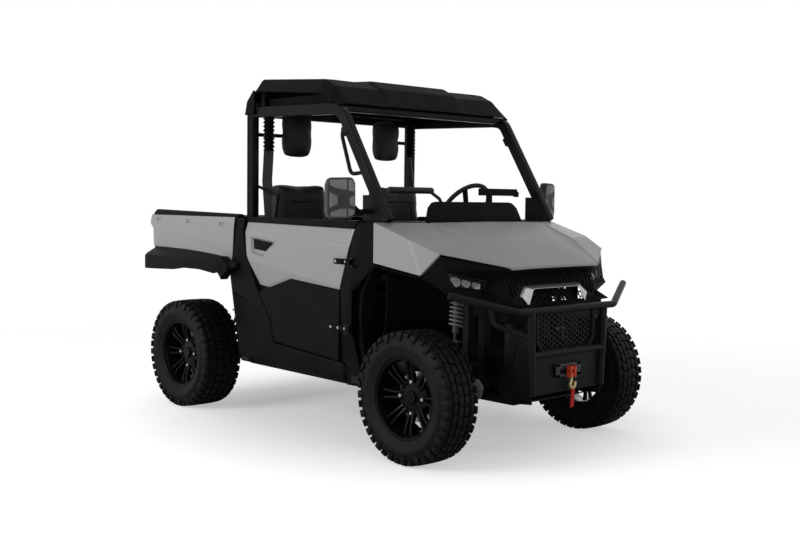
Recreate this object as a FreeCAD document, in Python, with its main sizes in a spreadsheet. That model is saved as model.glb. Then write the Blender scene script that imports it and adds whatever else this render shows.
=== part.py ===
import FreeCAD, Part
import math
import os
import re
from types import SimpleNamespace

import Sketcher
from FreeCAD import Placement, Rotation, Vector

# Side by side utility vehicle: two seats, half doors, a caged cab with a roof, and a tilting bed.
# Millimetres. +X is forward, +Y is the vehicle's left, +Z is up; the origin is on the floor,
# under the middle of the vehicle. Right-hand pieces are modelled first, on the -Y side.

# name, millimetres, or how it follows from sizes above it
SIZES = (
    # stance and wheels
    ("front_axle_x", 1025.0),
    ("wheelbase", 1990.0),
    ("rear_axle_x", "=front_axle_x - wheelbase"),
    ("tyre_radius", 330.0),
    ("lug_height", 12.0),
    ("rim_radius", 203.0),
    ("bead_radius", 190.5),
    ("barrel_radius", 180.0),
    ("flange_width", 6.0),
    ("front_half_track", 667.0),
    ("front_tyre_half", 107.5),
    ("front_rim_half", 89.0),
    ("rear_half_track", 680.0),
    ("rear_tyre_half", 131.0),
    ("rear_rim_half", 108.0),
    ("disc_depth", 79.0),
    ("kingpin_y", 590.0),
    ("steer_arm", 110.0),
    ("tie_rod_z", 372.0),
    ("tie_rod_radius", 9.0),
    # ladder frame
    ("rail_inner", 215.0),
    ("rail_width", 50.0),
    ("rail_low", 283.0),
    ("rail_deep", 30.0),
    ("rear_overhang", 355.0),
    ("rail_rear_x", "=rear_axle_x - rear_overhang"),
    ("rail_front_x", 1300.0),
    ("outrigger_low", 340.0),
    ("outrigger_high", 380.0),
    ("front_leg_x", 587.0),
    ("rear_leg_x", -402.0),
    ("skid_wall", 5.0),
    # cab
    ("panel_y", 700.0),
    ("panel_wall", 10.0),
    ("door_wall", 42.0),
    ("pocket_depth", 14.0),
    ("belt_z", 1176.0),
    ("skin_wall", 4.0),
    ("sill_z", 446.0),
    ("cab_half", 600.0),
    ("tub_wall", 8.0),
    ("floor_z", 440.0),
    ("seat_base_z", 720.0),
    ("cab_rear_x", -425.0),
    ("firewall_x", 735.0),
    ("cowl_z", 1166.0),
    ("cowl_wall", 14.0),
    ("seat_y", 381.0),
    ("seat_width", 405.0),
    ("hinge_x", 567.0),
    ("hinge_y", 717.0),
    ("hinge_radius", 11.0),
    ("gap", 6.0),
    ("seat_gap", 0.3),
    # cage and roof
    ("pillar_x", -402.0),
    ("pillar_deep", 80.0),
    ("pillar_y", 628.0),
    ("pillar_width", 50.0),
    ("cage_top_z", 1815.0),
    ("cage_front_x", 405.0),
    ("roof_half", 620.0),
    ("roof_skirt", 668.0),
    ("roof_wall", 12.0),
    # front end
    ("hood_rear_x", 868.0),
    ("hood_front_x", 1346.0),
    ("hood_rear_y", 443.0),
    ("hood_front_y", 342.0),
    ("hood_axis_z", 1166.0),
    ("hood_wall", 7.0),
    ("bumper_tube", 14.0),
    ("bumper_x", 1430.0),
    # bed
    ("bed_overhang", 467.0),
    ("bed_rear_x", "=rear_axle_x - bed_overhang"),
    ("bed_front_x", -466.0),
    ("bed_wall", 26.0),
    ("bed_skin", 10.0),
    ("bed_half", "=panel_y - bed_skin"),
    ("bed_under_z", 850.0),
    ("bed_floor_z", 880.0),
    ("bed_rail_z", 1205.0),
    ("bed_pivot_x", "=rail_rear_x + 70"),
    ("bed_pivot_z", 800.0),
    ("pin_radius", 9.0),
    ("tailgate_wall", 24.0),
)

doc = FreeCAD.newDocument("side_by_side")
sheet = doc.addObject("Spreadsheet::Sheet", "Sizes")
for row, (name, value) in enumerate(SIZES, 1):
    sheet.set("A%d" % row, name)
    sheet.set("B%d" % row, str(value))
    sheet.setAlias("B%d" % row, name)
doc.recompute()

s = SimpleNamespace(**{name: float(getattr(sheet, name)) for name, value in SIZES})
s.rail_outer = s.rail_inner + s.rail_width
s.rail_high = s.rail_low + s.rail_deep
WORD = re.compile(r"[a-z][a-z_0-9]*")
NAMES = {name for name, value in SIZES}


def bound(obj, prop, text):
    """Ties a property to the sheet; the text names sizes by their plain words."""
    named = lambda m: "Sizes." + m.group(0) if m.group(0) in NAMES else m.group(0)
    obj.setExpression(prop, WORD.sub(named, text))


# ---- how the pieces are made ---------------------------------------------------------------

def box(name, x, y, z):
    """A block between two corners, each given as (low, high) texts."""
    obj = doc.addObject("Part::Box", name)
    for prop, axis, (low, high) in (("Length", "x", x), ("Width", "y", y), ("Height", "z", z)):
        bound(obj, prop, "(%s) - (%s)" % (high, low))
        bound(obj, "Placement.Base." + axis, low)
    return obj


def drum(name, radius, y, at_x, at_z):
    """A round bar across the vehicle, from y low to y high."""
    obj = doc.addObject("Part::Cylinder", name)
    obj.Placement = Placement(Vector(0, 0, 0), Rotation(Vector(1, 0, 0), -90))
    bound(obj, "Radius", radius)
    bound(obj, "Height", "(%s) - (%s)" % (y[1], y[0]))
    for axis, text in (("x", at_x), ("y", y[0]), ("z", at_z)):
        bound(obj, "Placement.Base." + axis, text)
    return obj


def post(name, radius, z, at_x, at_y):
    """A round upright bar, from z low to z high."""
    obj = doc.addObject("Part::Cylinder", name)
    bound(obj, "Radius", radius)
    bound(obj, "Height", "(%s) - (%s)" % (z[1], z[0]))
    for axis, text in (("x", at_x), ("y", at_y), ("z", z[0])):
        bound(obj, "Placement.Base." + axis, text)
    return obj


def outline(body, role, points):
    """A closed sketch on one of the body's own planes, every corner tied to the sheet."""
    plane = next(f for f in body.Origin.OriginFeatures if f.Role == role)
    sketch = body.newObject("Sketcher::SketchObject", body.Name + "_outline")
    sketch.AttachmentSupport = [(plane, "")]
    sketch.MapMode = "FlatFace"
    count = len(points)
    for i in range(count):
        sketch.addGeometry(Part.LineSegment(Vector(i, i * i, 0), Vector(i + 1, (i + 1) ** 2, 0)), False)
    for i in range(count):
        sketch.addConstraint(Sketcher.Constraint("Coincident", i, 2, (i + 1) % count, 1))
    for i, (across, up) in enumerate(points):
        for kind, text in (("DistanceX", across), ("DistanceY", up)):
            number = sketch.addConstraint(Sketcher.Constraint(kind, -1, 1, i, 1, 1.0))
            bound(sketch, "Constraints[%d]" % number, text)
    return sketch


def plate(name, points, inner, thick, role="XZ_Plane"):
    """A flat piece padded outwards. On XZ it lies on the right-hand side, from |y| = inner."""
    body = doc.addObject("PartDesign::Body", name)
    sketch = outline(body, role, points)
    bound(sketch, "AttachmentOffset.Base.z", inner)
    pad = body.newObject("PartDesign::Pad", name + "_pad")
    pad.Profile = sketch
    bound(pad, "Length", thick)
    return body


def mirrored(obj):
    """The left-hand twin of a right-hand piece."""
    twin = doc.addObject("Part::Mirroring", obj.Name + "_left")
    twin.Source = obj
    twin.Normal = Vector(0, 1, 0)
    return twin


def joined(name, *parts):
    obj = doc.addObject("Part::MultiFuse", name)
    obj.Shapes = list(parts)
    return obj


def apart(name, *parts):
    """Pieces that share a node and don't touch."""
    obj = doc.addObject("Part::Compound", name)
    obj.Links = list(parts)
    return obj


def less(name, base, *tools):
    obj = doc.addObject("Part::Cut", name)
    obj.Base = base
    obj.Tool = tools[0] if len(tools) == 1 else joined(name + "_tools", *tools)
    return obj


def feature(name, shape):
    obj = doc.addObject("Part::Feature", name)
    obj.Shape = shape
    return obj


def polygon(points):
    vectors = [Vector(*p) for p in points]
    return Part.makePolygon(vectors + vectors[:1])


def loft(sections):
    """A straight-sided solid through closed sections with equal corner counts."""
    return Part.makeLoft([polygon(section) for section in sections], True, True)


def folded(corners, faces, offset):
    """A folded panel: flat triangles between named corners, thickened along one direction."""
    top = [Vector(*c) for c in corners]
    shift = Vector(*offset)
    under = [c + shift for c in top]
    triangles = []
    for face in faces:
        triangles += [(face[0], face[i], face[i + 1]) for i in range(1, len(face) - 1)]
    edges = {}
    for tri in triangles:
        for a, b in zip(tri, tri[1:] + tri[:1]):
            edges[(min(a, b), max(a, b))] = edges.get((min(a, b), max(a, b)), 0) + 1
    shell = [Part.Face(Part.makePolygon([c[i] for i in tri + tri[:1]])) for tri in triangles
             for c in (top, under)]
    for (a, b), used in edges.items():
        if used == 1:
            shell.append(Part.Face(Part.makePolygon([top[a], top[b], under[b], under[a], top[a]])))
    solid = Part.Solid(Part.makeShell(shell))
    if solid.Volume < 0:
        solid.reverse()
    return solid


def strip(points, wall, y_low, y_high):
    """A bent sheet: an XZ line of (x, z) points, given a wall to its right, run from y_low to y_high."""
    count = len(points)
    offset = []
    for i, (x, z) in enumerate(points):
        steps = [(points[j + 1][0] - points[j][0], points[j + 1][1] - points[j][1])
                 for j in (i - 1, i) if 0 <= j < count - 1]
        normals = [(dz / math.hypot(dx, dz), -dx / math.hypot(dx, dz)) for dx, dz in steps]
        nx = sum(n[0] for n in normals)
        nz = sum(n[1] for n in normals)
        grow = wall * len(normals) / (nx * nx + nz * nz)
        offset.append((x + nx * grow, z + nz * grow))
    ring = points + offset[::-1]
    face = Part.Face(polygon([(x, y_low, z) for x, z in ring]))
    return face.extrude(Vector(0, y_high - y_low, 0))


def tube(points, radius, bend=0.0):
    """A round bar through points, its corners bent to arcs of the given radius."""
    at = [Vector(*p) for p in points]
    edges = []
    start = at[0]
    for i in range(1, len(at) - 1):
        into = (at[i] - at[i - 1]).normalize()
        out = (at[i + 1] - at[i]).normalize()
        turn = into.getAngle(out)
        back = bend * math.tan(turn / 2)
        first = at[i] - into * back
        last = at[i] + out * back
        middle = at[i] + (out - into).normalize() * (bend / math.cos(turn / 2) - bend)
        edges += [Part.LineSegment(start, first).toShape(), Part.Arc(first, middle, last).toShape()]
        start = last
    edges.append(Part.LineSegment(start, at[-1]).toShape())
    ring = Part.Wire(Part.Circle(at[0], at[1] - at[0], radius).toShape())
    return Part.Wire(edges).makePipeShell([ring], True, False)


def rod(low, high, radius):
    return Part.makeCylinder(radius, (Vector(*high) - Vector(*low)).Length, Vector(*low),
                             Vector(*high) - Vector(*low))


def bar(low, high, along, across):
    """A rectangular bar between two points; along and across are the section's two half-size vectors."""
    ends = []
    for end in (low, high):
        centre = Vector(*end)
        a = Vector(*along)
        b = Vector(*across)
        ends.append([tuple(centre + a + b), tuple(centre - a + b), tuple(centre - a - b),
                     tuple(centre + a - b)])
    return loft(ends)


def fused(shapes):
    return shapes[0].multiFuse(shapes[1:]).removeSplitter() if len(shapes) > 1 else shapes[0]


def left_of(shape):
    return shape.mirror(Vector(0, 0, 0), Vector(0, 1, 0))


def pair(shapes):
    """Right-hand shapes fused, with their left-hand twins, as two solids that don't touch."""
    right = fused(shapes)
    return Part.makeCompound([right, left_of(right)])


NODES = {}

# ---- wheels --------------------------------------------------------------------------------
# Sections are (radius, offset from the wheel's middle plane, positive outboard), turned about
# the axle. The tyre is hollow and open towards the rim, with its beads between the rim's flanges.


def turned(name, points, at, right):
    body = doc.addObject("PartDesign::Body", name)
    sketch = outline(body, "XY_Plane", points)
    spin = body.newObject("PartDesign::Revolution", name + "_turn")
    spin.Profile = sketch
    spin.ReferenceAxis = (sketch, ["V_Axis"])
    spin.Angle = 360
    body.Placement = Placement(Vector(0, 0, 0), Rotation(Vector(0, 0, 1), 180 if right else 0))
    for axis, text in zip("xyz", at):
        bound(body, "Placement.Base." + axis, text)
    return body


def rim_section(half):
    hub = "%s - disc_depth" % half
    return (("0", hub), ("80", hub), ("150", hub + " + 18"), ("barrel_radius", hub + " + 8"),
            ("barrel_radius", "-" + half), ("rim_radius", "-" + half),
            ("rim_radius", "flange_width - " + half),
            ("bead_radius", "flange_width - " + half), ("bead_radius", half + " - flange_width"),
            ("rim_radius", half + " - flange_width"), ("rim_radius", half), ("rim_radius - 12", half),
            ("160", half + " - 36"), ("70", half + " - 48"), ("45", half + " - 36"), ("0", half + " - 36"))


def around(count, corners, y):
    """A closed ring of corners about the Y axis; each is (share of the pitch, radius)."""
    ring = []
    for i in range(count):
        for share, radius in corners:
            turn = math.tau * (i + share) / count
            ring.append((radius * math.sin(turn), y, -radius * math.cos(turn)))
    return ring


def stacked(rings):
    """A solid through rings of equal corner counts, all its faces flat."""
    faces = [Part.Face(polygon(ring)) for ring in (rings[0], rings[-1])]
    for first, second in zip(rings, rings[1:]):
        for i in range(len(first)):
            j = i - 1
            faces.append(Part.Face(polygon([first[j], first[i], second[i], second[j]])))
    solid = Part.Solid(Part.makeShell(faces))
    if solid.Volume < 0:
        solid.reverse()
    return solid


# A lug takes up the first part of its pitch, and the tread's floor the rest.
LUGS = 20
LUG_END = 0.50
FLOOR_START = 0.58
FLOOR_END = 0.92
SHOULDER = 0.93
SIDES = 20


def tread_half(half, late):
    """Half of the tread, from the middle plane out: a ring of lugs, drawn in at the shoulder."""
    floor = s.tyre_radius - s.lug_height
    corners = [(late, s.tyre_radius), (late + LUG_END, s.tyre_radius), (late + FLOOR_START, floor),
               (late + FLOOR_END, floor)]
    drawn_in = [(share, radius * SHOULDER) for share, radius in corners]
    return stacked([around(LUGS, corners, 0), around(LUGS, corners, half - 22),
                    around(LUGS, drawn_in, half - 1)])


def plain_rings(section):
    """A solid through plain rings; its flats are at the radii given."""
    flat = math.cos(math.pi / SIDES)
    return stacked([around(SIDES, [(0, radius / flat)], y) for radius, y in section])


def tyre(rim_half, half):
    """A hollow tyre about the Y axis, its beads held between the rim's flanges."""
    bead = rim_half - s.flange_width
    side = [(s.rim_radius + 1, bead), ((s.rim_radius + s.tyre_radius) / 2, half),
            (s.tyre_radius - 42, half - 3)]
    hollow = [(s.bead_radius, bead + 1), (s.bead_radius, bead - 14), (s.tyre_radius - 36, half - 36)]
    under_tread = plain_rings([(s.tyre_radius - 48, half), (s.tyre_radius - 48, -half)])
    tread = fused([tread_half(half, 0), left_of(tread_half(half, LUG_END))]).cut(under_tread)
    carcass = plain_rings(side + [(radius, -y) for radius, y in side[::-1]])
    return fused([carcass, tread]).cut(plain_rings(hollow + [(radius, -y) for radius, y in hollow[::-1]]))


WHEELS = (
    # place, axle x, half track, rim half width, tyre half width
    ("front", "front_axle_x", "front_half_track", "front_rim_half", "front_tyre_half"),
    ("rear", "rear_axle_x", "rear_half_track", "rear_rim_half", "rear_tyre_half"),
)
for place, axle_x, half_track, rim_half, tyre_half in WHEELS:
    tyre_shape = tyre(getattr(s, rim_half), getattr(s, tyre_half))
    for side, sign in (("right", "-"), ("left", "")):
        at = (axle_x, sign + half_track, "tyre_radius")
        NODES["rim_%s_%s" % (place, side)] = turned(
            "rim_%s_%s" % (place, side), rim_section(rim_half), at, side == "right")
        name = "tyre_%s_%s" % (place, side)
        NODES[name] = feature(name, tyre_shape if side == "left" else left_of(tyre_shape))
        for axis, text in zip("xyz", at):
            bound(NODES[name], "Placement.Base." + axis, text)

# ---- steering ------------------------------------------------------------------------------
# A knuckle is a post on the kingpin axis, a hub drum out to the rim and an arm back to the tie rod.
knuckle_post = post("knuckle_post", "28", ("tyre_radius - 80", "tyre_radius + 90"), "front_axle_x",
                    "-kingpin_y")
knuckle_hub = drum("knuckle_hub", "45", ("seat_gap - front_half_track - front_rim_half + disc_depth",
                                         "-kingpin_y"),
                   "front_axle_x", "tyre_radius")
knuckle_arm = box("knuckle_arm", ("front_axle_x - steer_arm - 14", "front_axle_x"),
                  ("-kingpin_y - 14", "-kingpin_y + 14"),
                  ("tie_rod_z + 12", "tie_rod_z + 28"))
NODES["knuckle_right"] = joined("knuckle_right", knuckle_post, knuckle_hub, knuckle_arm)
NODES["knuckle_left"] = mirrored(NODES["knuckle_right"])

# The rack bar slides in its housing and carries both tie rods, whose eyes lie under the arms.
rack_bar = drum("rack_bar", "tie_rod_radius", ("-kingpin_y", "kingpin_y"), "front_axle_x - steer_arm",
                "tie_rod_z")
eyes = [post("tie_rod_eye_%d" % i, "13", ("tie_rod_z - 9", "tie_rod_z + 11.5"),
             "front_axle_x - steer_arm", y)
        for i, y in enumerate(("-kingpin_y", "kingpin_y"))]
NODES["steering_rack"] = joined("steering_rack", rack_bar, *eyes)

# The steering wheel leans forward at its top; its shaft runs down into the dashboard.
WHEEL_LEAN = 35.0
WHEEL_CENTRE = (358.0, 350.0, 1236.0)
WHEEL_RADIUS = 178.0
lean = math.radians(WHEEL_LEAN)
shaft = Vector(math.cos(lean), 0, -math.sin(lean))
centre = Vector(*WHEEL_CENTRE)
rim_ring = Part.makeTorus(WHEEL_RADIUS, 13, centre, shaft)
spokes = []
for turn in (0, 120, 240):
    spoke_way = Rotation(shaft, turn).multVec(Vector(0, 1, 0).cross(shaft))
    spokes.append(bar(tuple(centre + shaft * 20), tuple(centre - spoke_way * WHEEL_RADIUS),
                      tuple(shaft.cross(spoke_way) * 16), tuple(shaft * 5)))
hub = rod(tuple(centre + shaft * 45), tuple(centre - shaft * 5), 42)
column = rod(tuple(centre + shaft * 20), tuple(centre + shaft * 405), 14)
NODES["steering_wheel"] = feature("steering_wheel", fused([rim_ring, hub, column] + spokes))

# ---- chassis frame -------------------------------------------------------------------------
# Two rails with cross members, outriggers for the cab, a front box that carries the dampers and
# the nose, rear uprights, and two bed beams with the hinge cheeks at their rear ends.
frame_parts = []
RAILS = (
    # x low, x high, |y| low, |y| high, z low, z high
    ("rail_rear_x", "rail_front_x", "rail_inner", "rail_inner + rail_width", "rail_low",
     "rail_low + rail_deep"),
    ("-700", "640", "rail_inner", "rail_inner + rail_width", "rail_low + rail_deep", "outrigger_high"),
    ("front_leg_x - 27", "front_leg_x + 28", "rail_inner + rail_width", "panel_y - panel_wall",
     "outrigger_low", "outrigger_high"),
    ("rear_leg_x - 38", "rear_leg_x + 37", "rail_inner + rail_width", "panel_y - panel_wall",
     "outrigger_low", "outrigger_high"),
    ("front_axle_x - 75", "front_axle_x - 35", "rail_inner", "rail_inner + rail_width",
     "rail_low + rail_deep", "830"),
    ("front_axle_x + 35", "front_axle_x + 75", "rail_inner", "rail_inner + rail_width",
     "rail_low + rail_deep", "830"),
    ("rail_front_x - 60", "rail_front_x - 20", "rail_inner", "rail_inner + rail_width",
     "rail_low + rail_deep", "900"),
    ("rear_axle_x - 75", "rear_axle_x - 35", "rail_inner", "rail_inner + rail_width",
     "rail_low + rail_deep", "780"),
    ("rear_axle_x + 35", "rear_axle_x + 75", "rail_inner", "rail_inner + rail_width",
     "rail_low + rail_deep", "780"),
    ("front_axle_x - steer_arm - 25", "front_axle_x - steer_arm + 25", "rail_inner",
     "rail_inner + rail_width",
     "rail_low + rail_deep", "tie_rod_z - 20"),
    ("bed_pivot_x + 15", "-440", "rail_inner", "rail_inner + rail_width", "bed_pivot_z - 20",
     "bed_pivot_z + 20"),
    ("bed_pivot_x - 25", "bed_pivot_x + 15", "rail_inner + 25", "rail_inner + rail_width",
     "bed_pivot_z - 20", "bed_pivot_z + 15"),
)
CROSS_MEMBERS = (
    # x low, x high, z low, z high, |y| reached
    ("rail_rear_x", "rail_rear_x + 50", "rail_low", "rail_low + rail_deep", "rail_inner"),
    ("-720", "-670", "rail_low", "rail_low + rail_deep", "rail_inner"),
    ("rear_leg_x - 38", "rear_leg_x + 37", "outrigger_low", "outrigger_high", "rail_inner"),
    ("front_leg_x - 27", "front_leg_x + 28", "outrigger_low", "outrigger_high", "rail_inner"),
    ("front_axle_x - steer_arm - 25", "front_axle_x - steer_arm + 25", "tie_rod_z - 30", "tie_rod_z - 20",
     "rail_inner"),
    ("rail_front_x - 50", "rail_front_x", "rail_low", "rail_low + rail_deep", "rail_inner"),
    ("front_axle_x - 10", "front_axle_x + 30", "795", "825", "435"),
    ("rail_front_x - 55", "rail_front_x - 25", "860", "890", "rail_inner"),
    ("rear_axle_x + 40", "rear_axle_x + 70", "740", "770", "345"),
)
for i, (x0, x1, y0, y1, z0, z1) in enumerate(RAILS):
    beam = box("frame_beam_%d" % i, (x0, x1), ("-(%s)" % y1, "-(%s)" % y0), (z0, z1))
    frame_parts += [beam, mirrored(beam)]
for i, (x0, x1, z0, z1, reach) in enumerate(CROSS_MEMBERS):
    frame_parts.append(box("cross_member_%d" % i, (x0, x1), ("-(%s)" % reach, reach), (z0, z1)))
for i, (x0, x1) in enumerate((("front_axle_x - 35", "front_axle_x + 35"),
                              ("front_axle_x + 75", "rail_front_x - 60"))):
    nose = box("nose_beam_%d" % i, (x0, x1), ("-rail_inner - rail_width", "-rail_inner"), ("790", "830"))
    frame_parts += [nose, mirrored(nose)]
rack_housing = box("rack_housing", ("front_axle_x - steer_arm - 24", "front_axle_x - steer_arm + 24"),
                   ("-rail_inner + 20", "rail_inner - 20"), ("tie_rod_z - 20", "tie_rod_z + 24"))
rack_bore = drum("rack_bore", "tie_rod_radius + 3", ("-rail_inner", "rail_inner"),
                 "front_axle_x - steer_arm", "tie_rod_z")
rack_sleeve = less("rack_sleeve", rack_housing, rack_bore)
pivot_bore = drum("bed_pivot_bore", "pin_radius + 0.5",
                  ("-rail_inner - rail_width - 1", "-rail_inner - 24"),
                  "bed_pivot_x", "bed_pivot_z")
whole_frame = joined("whole_frame", rack_sleeve, *frame_parts)
NODES["chassis_frame"] = less("chassis_frame", whole_frame, pivot_bore, mirrored(pivot_bore))

NODES["skid_plate"] = feature("skid_plate", fused([
    strip([(s.rail_rear_x, s.rail_low - s.skid_wall), (s.rail_front_x + 3, s.rail_low - s.skid_wall),
           (s.rail_front_x + 62, s.rail_low + 15)][::-1], s.skid_wall, -s.rail_outer, s.rail_outer)]))

# ---- drive line and suspension -------------------------------------------------------------
NODES["battery"] = box("battery", ("cab_rear_x + 15", "-40"), ("-420", "420"),
                       ("outrigger_high", "seat_base_z - tub_wall - 20"))

front_drive = box("front_drive", ("front_axle_x - 60", "front_axle_x + 110"), ("-110", "110"),
                  ("rail_low", "tyre_radius + 90"))
rear_drive = box("rear_drive", ("rear_axle_x - 150", "rear_axle_x + 210"), ("-200", "200"),
                 ("rail_low", "tyre_radius + 240"))
shafts = []
for place, axle_x, start, end in (("front", "front_axle_x", "110", "kingpin_y - 40"),
                                  ("rear", "rear_axle_x", "200", "kingpin_y - 25.3")):
    half_shaft = drum(place + "_half_shaft", "15", ("-(%s)" % end, "-(%s)" % start), axle_x, "tyre_radius")
    boot = drum(place + "_shaft_boot", "36", ("-(%s)" % end, "-(%s) + 60" % end), axle_x, "tyre_radius")
    shafts += [half_shaft, mirrored(half_shaft), boot, mirrored(boot)]
drive_shaft = feature("drive_shaft", rod((s.rear_axle_x + 210, 0, s.tyre_radius - 4),
                                         (s.front_axle_x - 60, 0, s.tyre_radius - 4), 12))
NODES["drivetrain"] = joined("drivetrain", front_drive, rear_drive, drive_shaft, *shafts)

# Wishbones: (axle x, half spread and z at the frame, z at the wheel, ball joint low and high)
WISHBONES = (
    (s.front_axle_x, 70, s.rail_low + 15, s.tyre_radius - 100, s.tyre_radius - 108, s.tyre_radius - 80.5),
    (s.front_axle_x, 60, 470, s.tyre_radius + 103, s.tyre_radius + 90.5, s.tyre_radius + 118),
    (s.rear_axle_x, 75, s.rail_low + 15, s.tyre_radius - 93, s.tyre_radius - 105, s.tyre_radius - 70),
    (s.rear_axle_x, 60, 470, s.tyre_radius + 103, s.tyre_radius + 85, s.tyre_radius + 118),
)
arms = []
for axle_x, spread, frame_z, wheel_z, low, high in WISHBONES:
    ball = rod((axle_x, -s.kingpin_y, low), (axle_x, -s.kingpin_y, high), 20)
    legs = [rod((axle_x + way * spread, -s.rail_outer - 3.7, frame_z), (axle_x, -s.kingpin_y, wheel_z),
                12) for way in (-1, 1)]
    arms.append(fused([ball] + legs))
carrier = Part.makeBox(60, 45, 150, Vector(s.rear_axle_x - 30, -s.kingpin_y - 20, s.tyre_radius - 72))
rear_hub = rod((s.rear_axle_x, -s.kingpin_y, s.tyre_radius),
               (s.rear_axle_x, s.seat_gap - s.rear_half_track - s.rear_rim_half + s.disc_depth,
                s.tyre_radius), 45)
rear_arms = fused(arms[2:] + [carrier, rear_hub])
rear_bore = rod((s.rear_axle_x, -s.kingpin_y + 30, s.tyre_radius),
                (s.rear_axle_x, -s.kingpin_y - 20, s.tyre_radius), 20)
right_arms = Part.makeCompound([arms[0], arms[1], rear_arms.cut(rear_bore)])
NODES["suspension_arms"] = feature("suspension_arms", Part.makeCompound([right_arms, left_of(right_arms)]))

# Coil-over dampers: (top, bottom); a spring drum on the upper part, a rod below it.
DAMPERS = (
    ((s.front_axle_x + 12, -400, 790), (s.front_axle_x + 30, -440, 465.5)),
    ((s.rear_axle_x + 55, -325, 736), (s.rear_axle_x + 32, -421, 470)),
)
dampers = []
for top, bottom in DAMPERS:
    start = Vector(*top)
    way = Vector(*bottom) - start
    spring_low = start + way * 0.62
    dampers.append(fused([rod(tuple(start + way * 0.03), tuple(spring_low), 36), rod(top, bottom, 11)]))
right_dampers = Part.makeCompound(dampers)
NODES["dampers"] = feature("dampers", Part.makeCompound([right_dampers, left_of(right_dampers)]))

hitch_outer = box("hitch_outer", ("rail_rear_x - 70", "rail_rear_x + 150"), ("-32", "32"),
                  ("rail_low + rail_deep", "rail_low + rail_deep + 64"))
hitch_inner = box("hitch_inner", ("rail_rear_x - 80", "rail_rear_x + 140"), ("-26", "26"),
                  ("rail_low + rail_deep + 6", "rail_low + rail_deep + 58"))
hitch_pin = drum("hitch_pin_hole", "8", ("-40", "40"), "rail_rear_x - 30", "rail_low + rail_deep + 32")
NODES["hitch_receiver"] = less("hitch_receiver", hitch_outer, hitch_inner, hitch_pin)

# ---- cab tub, cage and roof ----------------------------------------------------------------
tub_line = [(s.cab_rear_x, 1140), (s.cab_rear_x, s.seat_base_z), (-20, s.seat_base_z), (30, s.floor_z),
            (620, s.floor_z), (s.firewall_x - 15, 640), (s.firewall_x, s.cowl_z)]
NODES["cab_tub"] = feature("cab_tub", strip(tub_line, s.tub_wall, -s.cab_half, s.cab_half))

pillar_low = s.pillar_x - s.pillar_deep / 2
rear_pillar = Part.makeBox(s.pillar_deep, s.pillar_width, s.cage_top_z - s.outrigger_high,
                           Vector(pillar_low, -s.pillar_y - s.pillar_width / 2, s.outrigger_high))
half_deep = (34, 0, 0)
half_wide = (0, 22, 0)
A_TOP = (s.cage_front_x, -s.pillar_y - 6, s.cage_top_z - 50)
A_BASE = (770, -s.pillar_y - 6, s.cowl_z + s.cowl_wall)
front_pillar = bar(A_BASE, A_TOP, half_deep, half_wide)
front_leg = bar((720, -s.pillar_y, s.cowl_z), (s.front_leg_x, -s.pillar_y, 830), (26, 0, 0), half_wide)
front_foot = bar((s.front_leg_x, -s.pillar_y, 830), (s.front_leg_x, -s.pillar_y, s.outrigger_high),
                 (26, 0, 0), half_wide)
side_rail = bar((s.cage_front_x + 10, -s.pillar_y, s.cage_top_z - 70),
                (pillar_low, -s.pillar_y, s.cage_top_z - 25),
                (0, 0, 25), half_wide)
gusset_face = Part.Face(polygon([(580, -s.pillar_y - 16, 1192), (580, -s.pillar_y - 16, 1370),
                                 (640, -s.pillar_y - 16, 1370), (760, -s.pillar_y - 16, 1192)]))
gusset = gusset_face.extrude(Vector(0, 10, 0))
right_cage = [rear_pillar, front_pillar, side_rail, gusset]
front_header = Part.makeBox(60, 2 * s.pillar_y, 40,
                            Vector(s.cage_front_x - 30, -s.pillar_y, s.cage_top_z - 88))
rear_header = Part.makeBox(36, 2 * s.pillar_y, 50, Vector(s.pillar_x - 36, -s.pillar_y, s.cage_top_z - 50))
head_bar = rod((s.pillar_x - 12, -s.pillar_y, s.cage_top_z - 152),
               (s.pillar_x - 12, s.pillar_y, s.cage_top_z - 152), 16)
cage = fused(right_cage + [left_of(p) for p in right_cage] + [front_header, rear_header, head_bar])
legs = fused([front_leg, front_foot])
NODES["roll_cage"] = feature("roll_cage", Part.makeCompound([cage, legs, left_of(legs)]))

ROOF = (
    # x, then heights over the top of the cage: skirt edge, side of the top, middle of the top
    (-424, 23, 37, 38),
    (-361, 70, 100, 101),
    (-334, 91, 161, 165),
    (236, 45, 122, 137),
    (326, 15, 79, 89),
    (412, -31, -18, -16),
)
roof_sections = []
for x, *heights in ROOF:
    skirt, side_top, middle = [s.cage_top_z + height for height in heights]
    over = [(-s.roof_skirt, skirt), (-s.roof_half, side_top), (-310, side_top), (-290, middle)]
    under = [(-s.roof_skirt + s.roof_wall, skirt), (-s.roof_half + s.roof_wall, side_top - s.roof_wall),
             (-310 + 2, side_top - s.roof_wall), (-290 + 2, middle - s.roof_wall)]
    ring = over + [(-y, z) for y, z in over[::-1]] + [(-y, z) for y, z in under] + under[::-1]
    roof_sections.append([(x, y, z) for y, z in ring])
ear_line = [("-445", "cage_top_z - 41"), ("-424", "cage_top_z + 35"), ("-361", "cage_top_z + 97"),
            ("-345", "cage_top_z + 75"), ("-358", "cage_top_z - 41")]
ear = plate("roof_ear", ear_line, "roof_skirt - roof_wall", "roof_wall")
roof_shell = feature("roof_shell", loft(roof_sections))
bosses = [box("roof_boss_%d" % i, (x + " - 15", x + " + 15"), ("-640", "-612"), (z, top))
          for i, (x, z, top) in enumerate((("-300", "cage_top_z - 6", "cage_top_z + 125"),
                                           ("300", "cage_top_z - 36", "cage_top_z + 57")))]
NODES["roof"] = joined("roof", roof_shell, ear, mirrored(ear), *(bosses + [mirrored(b) for b in bosses]))

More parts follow.
